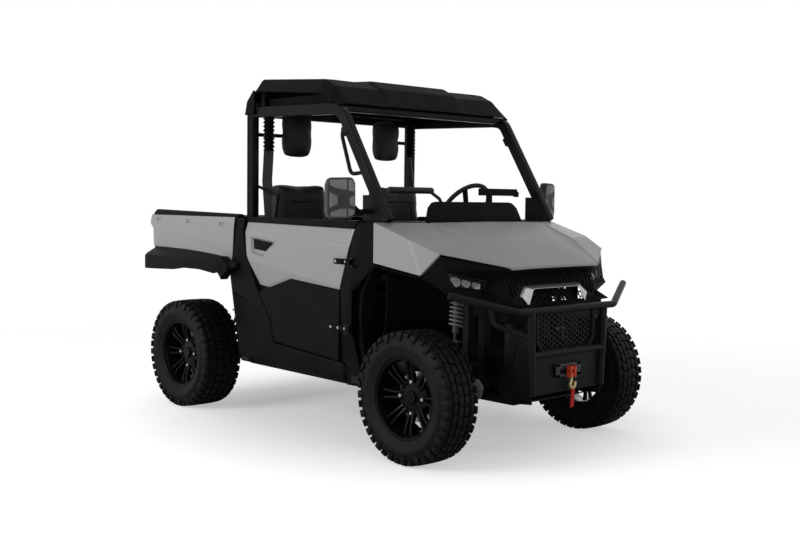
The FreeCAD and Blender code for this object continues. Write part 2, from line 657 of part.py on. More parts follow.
# ---- outer body panels ---------------------------------------------------------------------
# Corners are (x, z). The rocker panel runs from behind the door down and along under it.
rocker_line = [("bed_front_x + 3", "1159"), ("bed_front_x + 12", "belt_z"), ("-378", "belt_z"),
               ("-378", "1161"), ("-396", "1097"), ("-383", "964"), ("-262", "758"), ("-226", "708"),
               ("-149", "611"), ("-114", "480"), ("507", "sill_z - 10"), ("513", "322"),
               ("-381", "326"), ("-443", "340"), ("-545", "834"), ("-512", "960")]
rocker = plate("rocker_right", rocker_line, "panel_y - panel_wall", "panel_wall")
NODES["rocker_panels"] = apart("rocker_panels", rocker, mirrored(rocker))

quarter_line = [("628", "belt_z"), ("735", "belt_z"), ("735", "972"), ("565", "816"), ("554", "610"),
                ("630", "319"),
                ("516", "322"), ("510", "sill_z - 10"), ("488", "sill_z"), ("478", "815"), ("586", "1141")]
quarter = plate("quarter_right", quarter_line, "panel_y - panel_wall", "panel_wall")
# The arch liner: a full-width stretch behind the wheel, then a shelf over it that reaches further in.
arch_line = [(1060, 915), (800, 945), (728, 966), (640, 800), (640, 600), (664, 430)]
liner = feature("arch_liner", strip(arch_line, 5, -s.panel_y + s.panel_wall, -s.cab_half - 1))
shelf = feature("arch_shelf", strip(arch_line[:2] + [(748, 956)], 5, -s.cab_half - 2, -440))
EARS = (
    # z low, z high, x low and x high of the arm that carries it
    ("944", "954", "hinge_x", "hinge_x + 30"),
    ("984.5", "994", "hinge_x", "hinge_x + 30"),
    ("596", "606", "hinge_x - 42", "hinge_x"),
    ("636.5", "646", "hinge_x - 42", "hinge_x"),
)
ears = []
for i, (low, high, arm_rear, arm_front) in enumerate(EARS):
    ears += [post("door_ear_%d" % i, "hinge_radius", (low, high), "hinge_x", "-hinge_y"),
             box("door_ear_arm_%d" % i, (arm_rear, arm_front), ("-hinge_y - 6", "-panel_y"), (low, high))]
right_quarter = joined("right_quarter", quarter, liner, shelf, *ears)
NODES["quarter_panels"] = apart("quarter_panels", right_quarter, mirrored(right_quarter))

# The grey fender: a sloping top from the hood's edge to the outer crease, and a side under it.
FENDER = (
    (s.hood_rear_x - 2, -s.hood_rear_y - 8, 1176), (735.3, -s.panel_y, 1176), (735.3, -s.panel_y, 973),
    (1075, -s.panel_y + 5, 933), (1150, -640, 1034), (994, -s.panel_y + 5, 1099),
    (s.hood_front_x - 2, -s.hood_front_y - 8, 969),
)
fender = folded(FENDER, [(0, 1, 5), (0, 5, 4), (0, 4, 6), (1, 2, 3, 5), (5, 3, 4)], (0, 3, -6))
NODES["front_fenders"] = feature("front_fenders", pair([fender]))

# The hood's outer strips are raised over its middle; it turns on two barrels at its rear edge.
hood_top = []
for x, spread, edge_z, dip in ((s.hood_rear_x, s.hood_rear_y, 1176, 8), (1120, 380, 1076, 14),
                               (s.hood_front_x, s.hood_front_y, 969, 4)):
    hood_top.append([(x, -spread, edge_z), (x, -spread + 130, edge_z - dip),
                     (x, spread - 130, edge_z - dip), (x, spread, edge_z)])
hood_corners = [c for line in hood_top for c in line]
hood_faces = [(r * 4 + c, r * 4 + c + 1, r * 4 + c + 5, r * 4 + c + 4) for r in range(2) for c in range(3)]
hood_skin = folded(hood_corners, hood_faces, (0, 0, -s.hood_wall))
barrels = [rod((s.hood_rear_x - 7, y, s.hood_axis_z), (s.hood_rear_x - 7, y + 30, s.hood_axis_z), 4)
           for y in (-400, 370)]
webs = [Part.makeBox(22, 30, 6, Vector(s.hood_rear_x - 7, y, s.hood_axis_z - 4)) for y in (-400, 370)]
NODES["hood"] = feature("hood", fused([hood_skin] + barrels + webs))

# ---- cowl, dashboard and what stands on it -------------------------------------------------
cowl_line = [("634", "-cab_half"), ("700", "-panel_y + 45"), ("736", "-panel_y + 12"),
             ("hood_rear_x - 14", "-hood_rear_y"), ("hood_rear_x - 14", "hood_rear_y"),
             ("736", "panel_y - 12"), ("700", "panel_y - 45"), ("634", "cab_half")]
cowl_plate = plate("cowl_plate", cowl_line, "cowl_z", "cowl_wall", role="XY_Plane")
dash_line = [(640, s.cowl_z), (560, 1150), (530, 1090), (570, 960), (s.firewall_x - 10, 900)]
dash_sheet = feature("dash_sheet", strip(dash_line, 8, -s.cab_half, s.cab_half))
deflector = feature("deflector", loft([
    [(768, -381, 1180), (776, -381, 1180), (776, 381, 1180), (768, 381, 1180)],
    [(752, -305, 1286), (760, -305, 1286), (760, 305, 1286), (752, 305, 1286)]]))
hood_ears = []
for y in (-430.5, -369.5, 339.5, 400.5):
    hood_ears += [rod((s.hood_rear_x - 7, y, s.hood_axis_z), (s.hood_rear_x - 7, y + 30, s.hood_axis_z),
                      4),
                  Part.makeBox(14, 30, 7, Vector(s.hood_rear_x - 21, y, s.hood_axis_z - 4))]
ear_feature = feature("hood_ears", Part.makeCompound([fused(hood_ears[i:i + 2])
                                                      for i in range(0, len(hood_ears), 2)]))
column_hole = feature("column_hole", rod(tuple(centre + shaft * 100), tuple(centre + shaft * 398), 14.5))
cowl_solid = joined("cowl_solid", cowl_plate, dash_sheet, deflector, ear_feature)
NODES["cowl"] = less("cowl", cowl_solid, column_hole)

# Passenger grab bar and instrument display, each on a post at its inner end.
grab_bar = fused([rod((635, -510, 1346), (635, -190, 1340), 14),
                  tube([(640, -215, 1340), (690, -190, 1300), (738, -160, 1184)], 9, 30)])
display = fused([Part.makeBox(34, 310, 26, Vector(618, 194, 1328)),
                 Part.makeBox(20, 36, 152, Vector(640, 230, 1180))])
NODES["grab_bar"] = feature("grab_bar", grab_bar)
NODES["instrument_display"] = feature("instrument_display", display)

# ---- nose ----------------------------------------------------------------------------------
# Right half of the fascia: brow, lamp surround, lower ledge and the grille's side.
FASCIA = (
    (1336, -338, 957), (1146, -635, 1021), (1167, -620, 952), (1253, -400, 908), (1231, -400, 851),
    (1224, -600, 881), (1250, -676, 866), (1384, -376, 792),
    (1075, -688, 922), (1288, -330, 935), (1350, -345, 785),
)
fascia_faces = [(0, 1, 2), (0, 2, 3), (0, 3, 9), (9, 3, 4), (9, 4, 10), (4, 5, 6), (4, 6, 7), (4, 7, 10),
                (2, 1, 8), (2, 8, 5), (5, 8, 6)]
right_fascia = folded(FASCIA, fascia_faces, (-8, 0, -3))


def grille_x(z):
    """The grille leans forward towards its foot."""
    return 1288 + (935 - z) * (1350 - 1288) / (935 - 785)


grille_face = loft([[(x, -y, z), (x - 8, -y, z - 3), (x - 8, y, z - 3), (x, y, z)]
                    for x, y, z in ((1336, 338, 957), (1288, 330, 935), (1350, 345, 785),
                                    (1384, 376, 792))])
MESH = ((-232, 796), (232, 796), (258, 812), (206, 862), (-206, 862), (-258, 812))
mesh_opening = Part.Face(polygon([(1270, y, z) for y, z in MESH])).extrude(Vector(130, 0, 0))
SLOT_COUNT = 25
SLOT_PITCH = 23.6
SLOT_WIDTH = 11
slots = [Part.makeBox(36, SLOT_WIDTH, 43,
                      Vector(1286, (i - (SLOT_COUNT - 1) / 2) * SLOT_PITCH - SLOT_WIDTH / 2, 880))
         for i in range(SLOT_COUNT)]
MESH_BARS = 9
mesh_bars = [bar((grille_x(866) - 4, y, 866), (grille_x(790) - 4, y, 790), (2, 0, 0), (0, 2, 0))
             for y in [(i - (MESH_BARS - 1) / 2) * 48 for i in range(MESH_BARS)]]
mesh_bars += [bar((grille_x(z) - 4, -262, z), (grille_x(z) - 4, 262, z), (2, 0, 0), (0, 0, 2))
              for z in (812, 829, 846)]
fascia_tabs = [Part.makeBox(24, 30, 20, Vector(1280.3, y, 866)) for y in (-255, 225)]
open_grille = grille_face.cut(fused(slots + [mesh_opening]))
NODES["front_fascia"] = feature("front_fascia", fused([right_fascia, left_of(right_fascia), open_grille]
                                                      + fascia_tabs + mesh_bars))

# The grille trim is a frame of flat bars, open at the bottom: corners (|y|, z).
TRIM = ((211, 870), (268, 810), (236, 792))
TRIM_OUT = 11.7
trim_bars = [bar((grille_x(870) + TRIM_OUT, -214, 870), (grille_x(870) + TRIM_OUT, 214, 870), (8, 0, 0),
                 (0, 0, 8))]
for side in (-1, 1):
    for (y0, z0), (y1, z1) in zip(TRIM, TRIM[1:]):
        trim_bars.append(bar((grille_x(z0) + TRIM_OUT, side * y0, z0),
                             (grille_x(z1) + TRIM_OUT, side * y1, z1),
                             (8, 0, 0), (0, 9, 0)))
NODES["grille_trim"] = feature("grille_trim", fused(trim_bars))

LAMP = ((1167.5, -619.2, 951), (1252.5, -400.7, 907), (1231.2, -400.7, 852), (1224, -599.2, 882))
LAMP_BOWLS = (
    # share along the lamp, radius
    (0.22, 25),
    (0.50, 21),
    (0.77, 21),
)
lamp = folded(LAMP, [(0, 1, 2), (0, 2, 3)], (-35, 0, -13))
corners = [Vector(*corner) for corner in LAMP]
lamp_way = (corners[1] - corners[0]).cross(corners[0] - corners[3]).normalize()
bowls = []
for share, radius in LAMP_BOWLS:
    over = corners[0] + (corners[1] - corners[0]) * share
    under = corners[3] + (corners[2] - corners[3]) * share
    centre_point = (over + under) * 0.5
    bowls.append(rod(tuple(centre_point - lamp_way * 14), tuple(centre_point + lamp_way * 3), radius))
NODES["headlights"] = feature("headlights", pair([lamp] + bowls))

# ---- bumper, winch and hook ----------------------------------------------------------------
r = s.bumper_tube
top_bar = tube([(1262, -690, 844), (1429, -376, 759), (1429, 376, 759), (1262, 690, 844)], r, 60)
hoop = tube([(1429, -293, 752), (1429, -277, 340)], r)
side_hoop = tube([(1422, -290, 640), (1340, -440, 690), (1322, -560, 812)], 11, 40)
panel_hoop = tube([(1426, -235, 752), (1426, -235, 600), (1426, -190, 541), (1426, 190, 541),
                   (1426, 235, 600), (1426, 235, 752)], 9, 25)
lower_tube = tube([(1429, -280, 541), (1429, 280, 541)], r)
HOLE_COLUMNS = 11
HOLE_ROWS = 4
HOLE_PITCH = 38
HOLE_RADIUS = 17
holes = []
for i in range(HOLE_COLUMNS):
    for j in range(HOLE_ROWS):
        y = (i - (HOLE_COLUMNS - 1) / 2 + (j % 2) / 2 - 0.25) * HOLE_PITCH
        z = 637 + (j - (HOLE_ROWS - 1) / 2) * HOLE_PITCH
        corner_points = [(1415, y + HOLE_RADIUS * math.sin(turn * math.pi / 3),
                          z + HOLE_RADIUS * math.cos(turn * math.pi / 3))
                         for turn in range(6)]
        holes.append(Part.Face(polygon(corner_points)).extrude(Vector(30, 0, 0)))
mesh_panel = Part.makeBox(4, 470, 205, Vector(1424, -235, 546)).cut(fused(holes))
side_plate_face = Part.Face(polygon([(1420, -271.3, 700), (1300, -271.3, 640), (1200, -271.3, 343),
                                     (1300, -271.3, 290), (1430, -271.3, 300)]))
side_plate = side_plate_face.extrude(Vector(0, 6, 0))
mount_plate = Part.makeBox(10, 540, 190, Vector(1412, -270, 340))
right_bumper = [hoop, side_hoop, side_plate]
bumper = fused([top_bar, panel_hoop, lower_tube, mesh_panel, mount_plate] + right_bumper
               + [left_of(p) for p in right_bumper])
window = Part.makeBox(60, 150, 50, Vector(1390, -75, 425))
NODES["bumper"] = feature("bumper", bumper.cut(window))

drum_body = rod((1350, -85, 450), (1350, 85, 450), 34)
motor = rod((1350, -190, 450), (1350, -85.0, 450), 48)
gearbox = rod((1350, 85.0, 450), (1350, 180, 450), 48)
rope_window = Part.makeBox(40, 130, 28, Vector(1410, -65, 436))
fairlead = Part.makeBox(14, 200, 66, Vector(1422.3, -100, 417)).cut(rope_window)
winch_bed = Part.makeBox(116.7, 420, 10, Vector(1295, -210, 392))
NODES["winch"] = feature("winch", Part.makeCompound([fused([drum_body, motor, gearbox, winch_bed]),
                                                     fairlead]))
hook_block = Part.makeBox(29.4, 42, 60, Vector(1436.6, -15, 412))
hook_body = tube([(1448, 6, 425), (1448, 6, 375), (1448, 24, 352), (1448, 36, 372)], 8, 9)
hook_strap = Part.makeBox(4, 24, 110, Vector(1447, -2, 256))
NODES["tow_hook"] = feature("tow_hook", fused([hook_block, hook_body, hook_strap]))

# ---- seats ---------------------------------------------------------------------------------

def seat_pad(name, x, z, y_centre):
    block = box(name + "_block", x, ("%s - seat_width / 2" % y_centre, "%s + seat_width / 2" % y_centre),
                z)
    doc.recompute()
    pad = doc.addObject("Part::Fillet", name)
    pad.Base = block
    pad.Edges = [(i, 28.0, 28.0) for i in range(1, 13)]
    return pad


cushions = [seat_pad("cushion_" + side, ("-300", "150"), ("seat_base_z + seat_gap", "seat_base_z + 130"),
                     sign + "seat_y")
            for side, sign in (("right", "-"), ("left", ""))]
NODES["seat_cushions"] = apart("seat_cushions", *cushions)
backs = []
for side, sign in (("right", "-"), ("left", "")):
    block = box("seatback_block_" + side, ("-360", "-245"),
                ("%sseat_y - seat_width / 2" % sign, "%sseat_y + seat_width / 2" % sign),
                ("seat_base_z + 130.1", "seat_base_z + 652"))
    doc.recompute()
    back = doc.addObject("Part::Fillet", "seatback_" + side)
    back.Base = block
    back.Edges = [(i, 30.0, 30.0) for i in range(1, 13)]
    backs.append(back)
NODES["seatbacks"] = apart("seatbacks", *backs)
rests = []
for side, sign in (("right", "-"), ("left", "")):
    block = box("headrest_block_" + side, ("pillar_x + 4.4", "pillar_x + 94"),
                ("%s356 - 96" % sign, "%s356 + 96" % sign), ("cage_top_z - 275", "cage_top_z - 28"))
    doc.recompute()
    rest = doc.addObject("Part::Fillet", "headrest_" + side)
    rest.Base = block
    rest.Edges = [(i, 30.0, 30.0) for i in range(1, 13)]
    rests.append(rest)
NODES["headrests"] = apart("headrests", *rests)

BOOT_X = -345
BOOT_Y = -566
belt_boot = rod((BOOT_X, BOOT_Y, s.cage_top_z - 13), (BOOT_X, BOOT_Y, s.cage_top_z - 244), 26)
webbing = [bar((BOOT_X, BOOT_Y, s.cage_top_z - 240), (-330, -588, 1392), (24, 0, 0), (0, 1.5, 0)),
           bar((-330, -588, 1392), (-250, -588, 740), (24, 0, 0), (0, 1.5, 0))]
hanger = rod((BOOT_X, BOOT_Y, s.cage_top_z - 25), (s.pillar_x + 25.3, BOOT_Y, s.cage_top_z - 25), 9)
anchor = Part.makeBox(60, 12, 80, Vector(-280, -598, s.seat_base_z))
NODES["seat_belts"] = feature("seat_belts", pair([belt_boot, hanger, anchor] + webbing))

shell_box = box("mirror_block", ("582", "640"), ("-905", "-715"), ("1193", "1403"))
doc.recompute()
mirror_shell = doc.addObject("Part::Fillet", "mirror_shell")
mirror_shell.Base = shell_box
mirror_shell.Edges = [(i, 14.0, 14.0) for i in range(1, 13)]
mirror_arm = feature("mirror_arm", bar((638, -s.pillar_y - 16.3, 1232), (612, -760, 1232), (0, 0, 16),
                                       (10, 0, 0)))
mirror = joined("mirror_right", mirror_shell, mirror_arm)
NODES["mirrors"] = apart("mirrors", mirror, mirrored(mirror))

# ---- doors ---------------------------------------------------------------------------------
# Each door is a thick black shell with a grey skin on its upper half and two hinge straps.
door_line = [("-372", "belt_z + 4"), ("-372", "1161"), ("-390", "1097"), ("-377", "964"), ("-256", "758"),
             ("-220", "708"), ("-143", "611"), ("-108", "487"), ("482", "sill_z"), ("472", "815"),
             ("580", "1141"), ("618", "belt_z + 4")]
skin_line = [("-372", "1156"), ("-390", "1097"), ("-377", "964"), ("-256", "758"), ("42", "846"),
             ("472", "815"), ("580", "1141")]
door_skin = plate("door_skin", skin_line, "panel_y - skin_wall", "skin_wall")
pocket_line = [("-335", "1071"), ("-323", "977"), ("-215", "958"), ("-71", "1049")]
pocket = plate("handle_pocket", pocket_line, "panel_y - pocket_depth", "pocket_depth")
strap_seat = box("strap_seat", ("435", "530"), ("-panel_y", "-panel_y + skin_wall"), ("954.5", "984"))
NODES["door_skin_right"] = less("door_skin_right", door_skin, strap_seat, pocket)
door_slab = plate("door_slab", door_line, "panel_y - door_wall", "door_wall")
door_rebate = less("door_rebate", door_slab, NODES["door_skin_right"], pocket)
grip_line = [("-312", "1056"), ("-306", "1002"), ("-205", "992"), ("-130", "1040")]
grip = plate("handle_grip", grip_line, "panel_y - pocket_depth", "pocket_depth - 4")
straps = []
for i, (low, high, back_x) in enumerate((("954.5", "984", "435"), ("606.5", "636", "400"))):
    straps += [box("strap_%d" % i, (back_x, "hinge_x"), ("-hinge_y + 3", "-panel_y"), (low, high)),
               post("strap_barrel_%d" % i, "hinge_radius", (low, high), "hinge_x", "-hinge_y")]
door_right = joined("door_shell_right", door_rebate, grip, *straps)
NODES["door_shell_right"] = door_right
NODES["door_shell_left"] = mirrored(door_right)
NODES["door_skin_left"] = mirrored(NODES["door_skin_right"])

# ---- bed -----------------------------------------------------------------------------------
bed_outer = box("bed_outer", ("bed_rear_x", "bed_front_x"), ("-bed_half", "bed_half"),
                ("bed_under_z", "bed_rail_z - 22"))
bed_space = box("bed_space", ("bed_rear_x - 10", "bed_front_x - bed_wall"),
                ("-bed_half + bed_wall", "bed_half - bed_wall"),
                ("bed_floor_z", "bed_rail_z"))
rail_line = [("bed_rear_x + 44", "bed_rail_z + 11"), ("bed_front_x + 8", "bed_rail_z - 8"),
             ("bed_front_x + 8", "bed_rail_z - 24"),
             ("bed_rear_x", "bed_rail_z - 24")]
rail = plate("bed_rail", rail_line, "bed_half - 34", "45")
runner = box("bed_runner", ("bed_pivot_x + 15", "-450"), ("-rail_inner - rail_width", "-rail_inner"),
             ("bed_pivot_z + 20 + seat_gap", "bed_under_z"))
bed_ear = box("bed_ear", ("bed_pivot_x - 25", "bed_pivot_x + 25"),
              ("-rail_inner - rail_width - 11", "-rail_inner - rail_width - 0.5"),
              ("bed_pivot_z - 15", "bed_under_z"))
bed_pin = drum("bed_pin", "pin_radius", ("-rail_inner - rail_width - 11", "-rail_inner - 25"),
               "bed_pivot_x", "bed_pivot_z")
gate_ears = [drum("gate_ear_%d" % i, "8", y, "bed_rear_x - 12", "bed_floor_z - 4")
             for i, y in enumerate((("-600", "-575.5"), ("-540", "-515")))]
gate_ear_arms = [box("gate_ear_arm_%d" % i, ("bed_rear_x - 12", "bed_rear_x"), y,
                     ("bed_floor_z - 12", "bed_floor_z - 2"))
                 for i, y in enumerate((("-600", "-575.5"), ("-540", "-515")))]
tub_cut = less("bed_tub_cut", bed_outer, bed_space)
bed_right = [rail, runner, bed_ear, bed_pin] + gate_ears + gate_ear_arms
NODES["bed_tub"] = joined("bed_tub", tub_cut, *(bed_right + [mirrored(p) for p in bed_right]))

side_line = [("-1440", "bed_rail_z - 26"), ("-1466", "1124"), ("bed_rear_x", "1092"), ("-1424", "978"),
             ("-531", "909"),
             ("bed_front_x - 6", "1159"), ("bed_front_x - 6", "bed_rail_z - 26")]
side_panel = plate("bed_side_right", side_line, "bed_half", "bed_skin")
NODES["bed_side_panels"] = apart("bed_side_panels", side_panel, mirrored(side_panel))

# The flare hangs from the side panel over the wheel: (x, top z, low z, outward reach, gap at its root).
FLARE = ((-1401, 935, 900, 40, 0), (-1383, 975, 837, 90, 0), (-1031, 972, 847, 90, 0),
         (-868, 964, 869, 88, 0),
         (-600, 945, 846, 80, 0), (-436, 912, 890, 36, 6))
flare_sections = []
for x, high, low, reach, root in FLARE:
    brow = (high * 2 + low) / 3
    flare_sections.append([(x, -s.bed_half - s.bed_skin - y, z) for y, z in (
        (root, high), (reach, brow - 8), (reach, low), (reach - 8, low),
        (reach - 8, brow - 20), (root, high - 14))])
NODES["bed_flares"] = feature("bed_flares", pair([loft(flare_sections)]))

gate = box("gate", ("bed_rear_x - 4 - tailgate_wall", "bed_rear_x - 4"),
           ("-bed_half + 42", "bed_half - 42"), ("bed_floor_z + 8", "bed_rail_z - 30"))
gate_barrels = [drum("gate_barrel_%d" % i, "8", y, "bed_rear_x - 12", "bed_floor_z - 4")
                for i, y in enumerate((("-575", "-540.5"), ("540.5", "575")))]
gate_lugs = [box("gate_lug_%d" % i, ("bed_rear_x - 18", "bed_rear_x - 6"), y,
                 ("bed_floor_z - 2", "bed_floor_z + 10"))
             for i, y in enumerate((("-575", "-540.5"), ("540.5", "575")))]
NODES["tailgate"] = joined("tailgate", gate, *(gate_barrels + gate_lugs))
tail_lamp = box("tail_lamp", ("bed_rear_x - 14", "bed_rear_x"), ("-bed_half + 2", "-bed_half + 35"),
                ("1000", "1110"))
NODES["tail_lights"] = apart("tail_lights", tail_lamp, mirrored(tail_lamp))

# ---- check and write -----------------------------------------------------------------------
doc.recompute()
faults = [obj.Label for obj in doc.Objects if {"Invalid", "Error"} & set(obj.State)]
faults += [name for name, obj in NODES.items()
           if obj.Shape.isNull() or not obj.Shape.isValid() or obj.Shape.Volume <= 0]
if faults:
    raise SystemExit("failed: " + ", ".join(faults))
os.makedirs("parts", exist_ok=True)
low = Vector(1e9, 1e9, 1e9)
high = Vector(-1e9, -1e9, -1e9)
for name, obj in NODES.items():
    obj.Label = name
    obj.Shape.exportStep(os.path.join("parts", name + ".step"))
    b = obj.Shape.BoundBox
    low = Vector(min(low.x, b.XMin), min(low.y, b.YMin), min(low.z, b.ZMin))
    high = Vector(max(high.x, b.XMax), max(high.y, b.YMax), max(high.z, b.ZMax))
print("%d nodes, from %s to %s" % (len(NODES), tuple(low), tuple(high)))
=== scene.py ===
import math

import bmesh
import bpy
from mathutils import Matrix, Vector
from mathutils.geometry import delaunay_2d_cdt


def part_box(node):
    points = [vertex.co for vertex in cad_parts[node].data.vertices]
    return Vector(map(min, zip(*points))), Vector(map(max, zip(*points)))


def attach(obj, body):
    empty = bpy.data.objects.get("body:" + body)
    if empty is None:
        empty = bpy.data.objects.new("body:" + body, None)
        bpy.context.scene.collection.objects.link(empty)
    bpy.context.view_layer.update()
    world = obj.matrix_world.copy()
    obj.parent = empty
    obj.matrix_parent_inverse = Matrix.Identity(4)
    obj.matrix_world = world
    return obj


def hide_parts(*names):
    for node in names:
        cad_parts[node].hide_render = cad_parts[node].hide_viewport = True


# Side by side utility vehicle: two seats, half doors, a caged cab with a roof and a tilting bed.
# Metres, in the part's own frame: +X forward, +Y to the vehicle's left, +Z up, origin on the floor.
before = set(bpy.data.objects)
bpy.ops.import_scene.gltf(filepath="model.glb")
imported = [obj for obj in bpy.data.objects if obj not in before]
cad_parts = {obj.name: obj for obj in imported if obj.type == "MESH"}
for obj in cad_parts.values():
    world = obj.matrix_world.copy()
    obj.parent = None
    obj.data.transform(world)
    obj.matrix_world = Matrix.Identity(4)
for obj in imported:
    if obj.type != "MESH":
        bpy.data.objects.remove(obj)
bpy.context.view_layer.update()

# ---- Studio ----
# A pale seamless floor under soft overhead and side light. The floor keeps the vehicle's shadow, darkened
# further by painted shade where its glow is weaker near the middle, and runs out to white; the air around it is
# white wherever it is seen, mirrored or looked through.


class Reading:
    """A value inside a node tree. Sums written with it become Math nodes."""

    def __init__(self, tree, socket):
        self.tree, self.socket = tree, socket

    def maths(self, operation, *values):
        return self.tree.node("ShaderNodeMath", {"operation": operation}, dict(enumerate(values)))

    def ramp(self, low, high, start=0.0, end=1.0):
        """Runs evenly from start, at low and below, to end, at high and above."""
        return self.tree.node("ShaderNodeMapRange", {}, {
            "Value": self, "From Min": low, "From Max": high, "To Min": start, "To Max": end})


for sign, operation in (("add", "ADD"), ("sub", "SUBTRACT"), ("mul", "MULTIPLY")):
    setattr(Reading, "__%s__" % sign, lambda self, other, kind=operation: self.maths(kind, self, other))
    setattr(Reading, "__r%s__" % sign, lambda self, other, kind=operation: self.maths(kind, other, self))


class Tree:
    """A node tree in the making."""

    def __init__(self, tree):
        self.tree = tree

    def node(self, kind, settings, sockets, output=0):
        made = self.tree.nodes.new(kind)
        for key, setting in settings.items():
            setattr(made, key, setting)
        for key, value in sockets.items():
            self.put(made.inputs[key], value)
        return Reading(self, made.outputs[output])

    def put(self, socket, value):
        if isinstance(value, Reading):
            self.tree.links.new(value.socket, socket)
        elif socket.type == "RGBA" and len(value) == 3:
            socket.default_value = (*value, 1)
        else:
            socket.default_value = value

    def seen_by(self, kind, *others):
        """Whether a ray of one of these kinds looks."""
        seen = self.node("ShaderNodeLightPath", {}, {}, "Is %s Ray" % kind)
        for other in others:
            seen = seen.maths("MAXIMUM", seen, self.node("ShaderNodeLightPath", {}, {}, "Is %s Ray" % other))
        return seen


class Finish(Tree):
    """A paint, plastic, rubber or cloth in the making, for a material slot of the vehicle."""
    slots = {}

    def __init__(self, name, slot=""):
        self.material = bpy.data.materials.new(name)
        self.material.use_nodes = True
        super().__init__(self.material.node_tree)
        self.surface = self.tree.nodes["Principled BSDF"]
        self.slots[self.material.name] = slot

    def place(self):
        """Where a point is on the vehicle, in metres."""
        return self.node("ShaderNodeTexCoord", {}, {}, "Object")

    def noise(self, scale, detail=2.0):
        return self.node("ShaderNodeTexNoise", {}, {"Vector": self.place(), "Scale": scale, "Detail": detail})

    def cells(self, scale):
        return self.node("ShaderNodeTexVoronoi", {}, {"Vector": self.place(), "Scale": scale})

    def bands(self, scale, waver=0.0):
        return self.node("ShaderNodeTexWave", {"bands_direction": "Z"}, {
            "Vector": self.place(), "Scale": scale, "Distortion": waver})

    def blend(self, share, first, second):
        """A colour between two, by a share from 0 to 1."""
        return self.node("ShaderNodeMix", {"data_type": "RGBA"}, {0: share, 6: first, 7: second}, 2)

    def relief(self, height, depth):
        """A bump of the given depth in metres."""
        return self.node("ShaderNodeBump", {}, {"Height": height, "Distance": depth, "Strength": 1.0})

    def made(self, **surface):
        """Sets the surface shader's sockets, named with underscores for spaces."""
        for key, value in surface.items():
            self.put(self.surface.inputs[key.replace("_", " ")], value)
        return self.material


FLOOR_REACH = 30.0
FLOOR_FADES = (2.6, 5.5)
FLOOR_GREYS = (0.89, 0.91)
# The distance from the middle where the floor starts and stops to glow more, and its glow there: the weaker
# glow near the middle is painted shade around the vehicle.
FLOOR_GLOW_PAINTED_SHADE = (0.8, 1.8, 0.38, 0.66)
WHITE = (1, 1, 1)

studio = Finish("studio_floor")
from_middle = studio.node("ShaderNodeVectorMath", {"operation": "LENGTH"}, {0: studio.place()}, "Value")
studio.made(Base_Color=studio.blend(studio.noise(9.0), *((grey,) * 3 for grey in FLOOR_GREYS)), Roughness=0.9,
            Specular_IOR_Level=0.0)
# The floor glows for the camera, and less near the middle: painted shade that deepens the shadow around the
# vehicle.
glow = studio.node("ShaderNodeEmission", {}, {
    "Color": WHITE, "Strength": studio.seen_by("Camera", "Transmission") * from_middle.ramp(*FLOOR_GLOW_PAINTED_SHADE)})
lit = studio.node("ShaderNodeAddShader", {}, {0: Reading(studio, studio.surface.outputs[0]), 1: glow})
beyond_floor = studio.node("ShaderNodeEmission", {}, {"Color": WHITE, "Strength": 1.0})
studio.put(studio.tree.nodes["Material Output"].inputs["Surface"],
           studio.node("ShaderNodeMixShader", {}, {0: from_middle.ramp(*FLOOR_FADES), 1: lit, 2: beyond_floor}))

floor_mesh = bpy.data.meshes.new("studio_floor")
floor_mesh.from_pydata([(x * FLOOR_REACH, y * FLOOR_REACH, 0) for x, y in ((-1, -1), (1, -1), (1, 1), (-1, 1))],
                       [], [(0, 1, 2, 3)])
floor_mesh.materials.append(studio.material)
floor = bpy.data.objects.new("studio_floor", floor_mesh)
bpy.context.collection.objects.link(floor)

AIR_LIGHT = 0.25
world = bpy.data.worlds.new("studio_air")
world.use_nodes = True
bpy.context.scene.world = world
air = Tree(world.node_tree)
backdrop = air.tree.nodes["Background"].inputs
air.put(backdrop["Color"], WHITE)
air.put(backdrop["Strength"], air.seen_by("Camera", "Transmission", "Glossy").ramp(0, 1, AIR_LIGHT))

LAMPS = (
    # name, place, aimed at, size, watts
    ("side_light", (-1.2, -6.4, 2.6), (0, 0, 0.7), 3.0, 205.0),
    ("top_light", (0.0, 0.5, 5.5), (0, 0, 0), 4.5, 18.0),
    ("nose_light", (6.5, 1.0, 2.6), (0.5, 0, 0.7), 3.0, 16.0),
    ("far_light", (-1.5, 6.0, 1.6), (0, 0, 0.8), 2.5, 10.0),
)
for lamp_name, place, aim, size, watts in LAMPS:
    lamp = bpy.data.lights.new(lamp_name, "AREA")
    lamp.size, lamp.energy = size, watts
    lamp_object = bpy.data.objects.new(lamp_name, lamp)
    lamp_object.matrix_world = Matrix.Translation(place) @ (
        (Vector(place) - Vector(aim)).to_track_quat("Z", "Y").to_matrix().to_4x4())
    bpy.context.collection.objects.link(lamp_object)

CAMERA_PLACE = Vector((4.773, -4.262, 1.29))
CAMERA_AZIMUTH = math.radians(47.14)
CAMERA_TILT = math.radians(3.57)
CAMERA_ROLL = math.radians(0.66)
CAMERA_LENS = 48.15

backwards = Vector((math.sin(CAMERA_AZIMUTH) * math.cos(CAMERA_TILT),
                    -math.cos(CAMERA_AZIMUTH) * math.cos(CAMERA_TILT), math.sin(CAMERA_TILT)))
level = Vector((math.cos(CAMERA_AZIMUTH), math.sin(CAMERA_AZIMUTH), 0))
upright = backwards.cross(level)
right = level * math.cos(CAMERA_ROLL) + upright * math.sin(CAMERA_ROLL)
up = upright * math.cos(CAMERA_ROLL) - level * math.sin(CAMERA_ROLL)
camera = bpy.data.objects.new("camera", bpy.data.cameras.new("camera"))
camera.data.lens = CAMERA_LENS
camera.matrix_world = Matrix.Translation(CAMERA_PLACE) @ Matrix((right, up, backwards)).transposed().to_4x4()
bpy.context.collection.objects.link(camera)
bpy.context.scene.camera = camera
bpy.context.scene.view_settings.view_transform = "Standard"
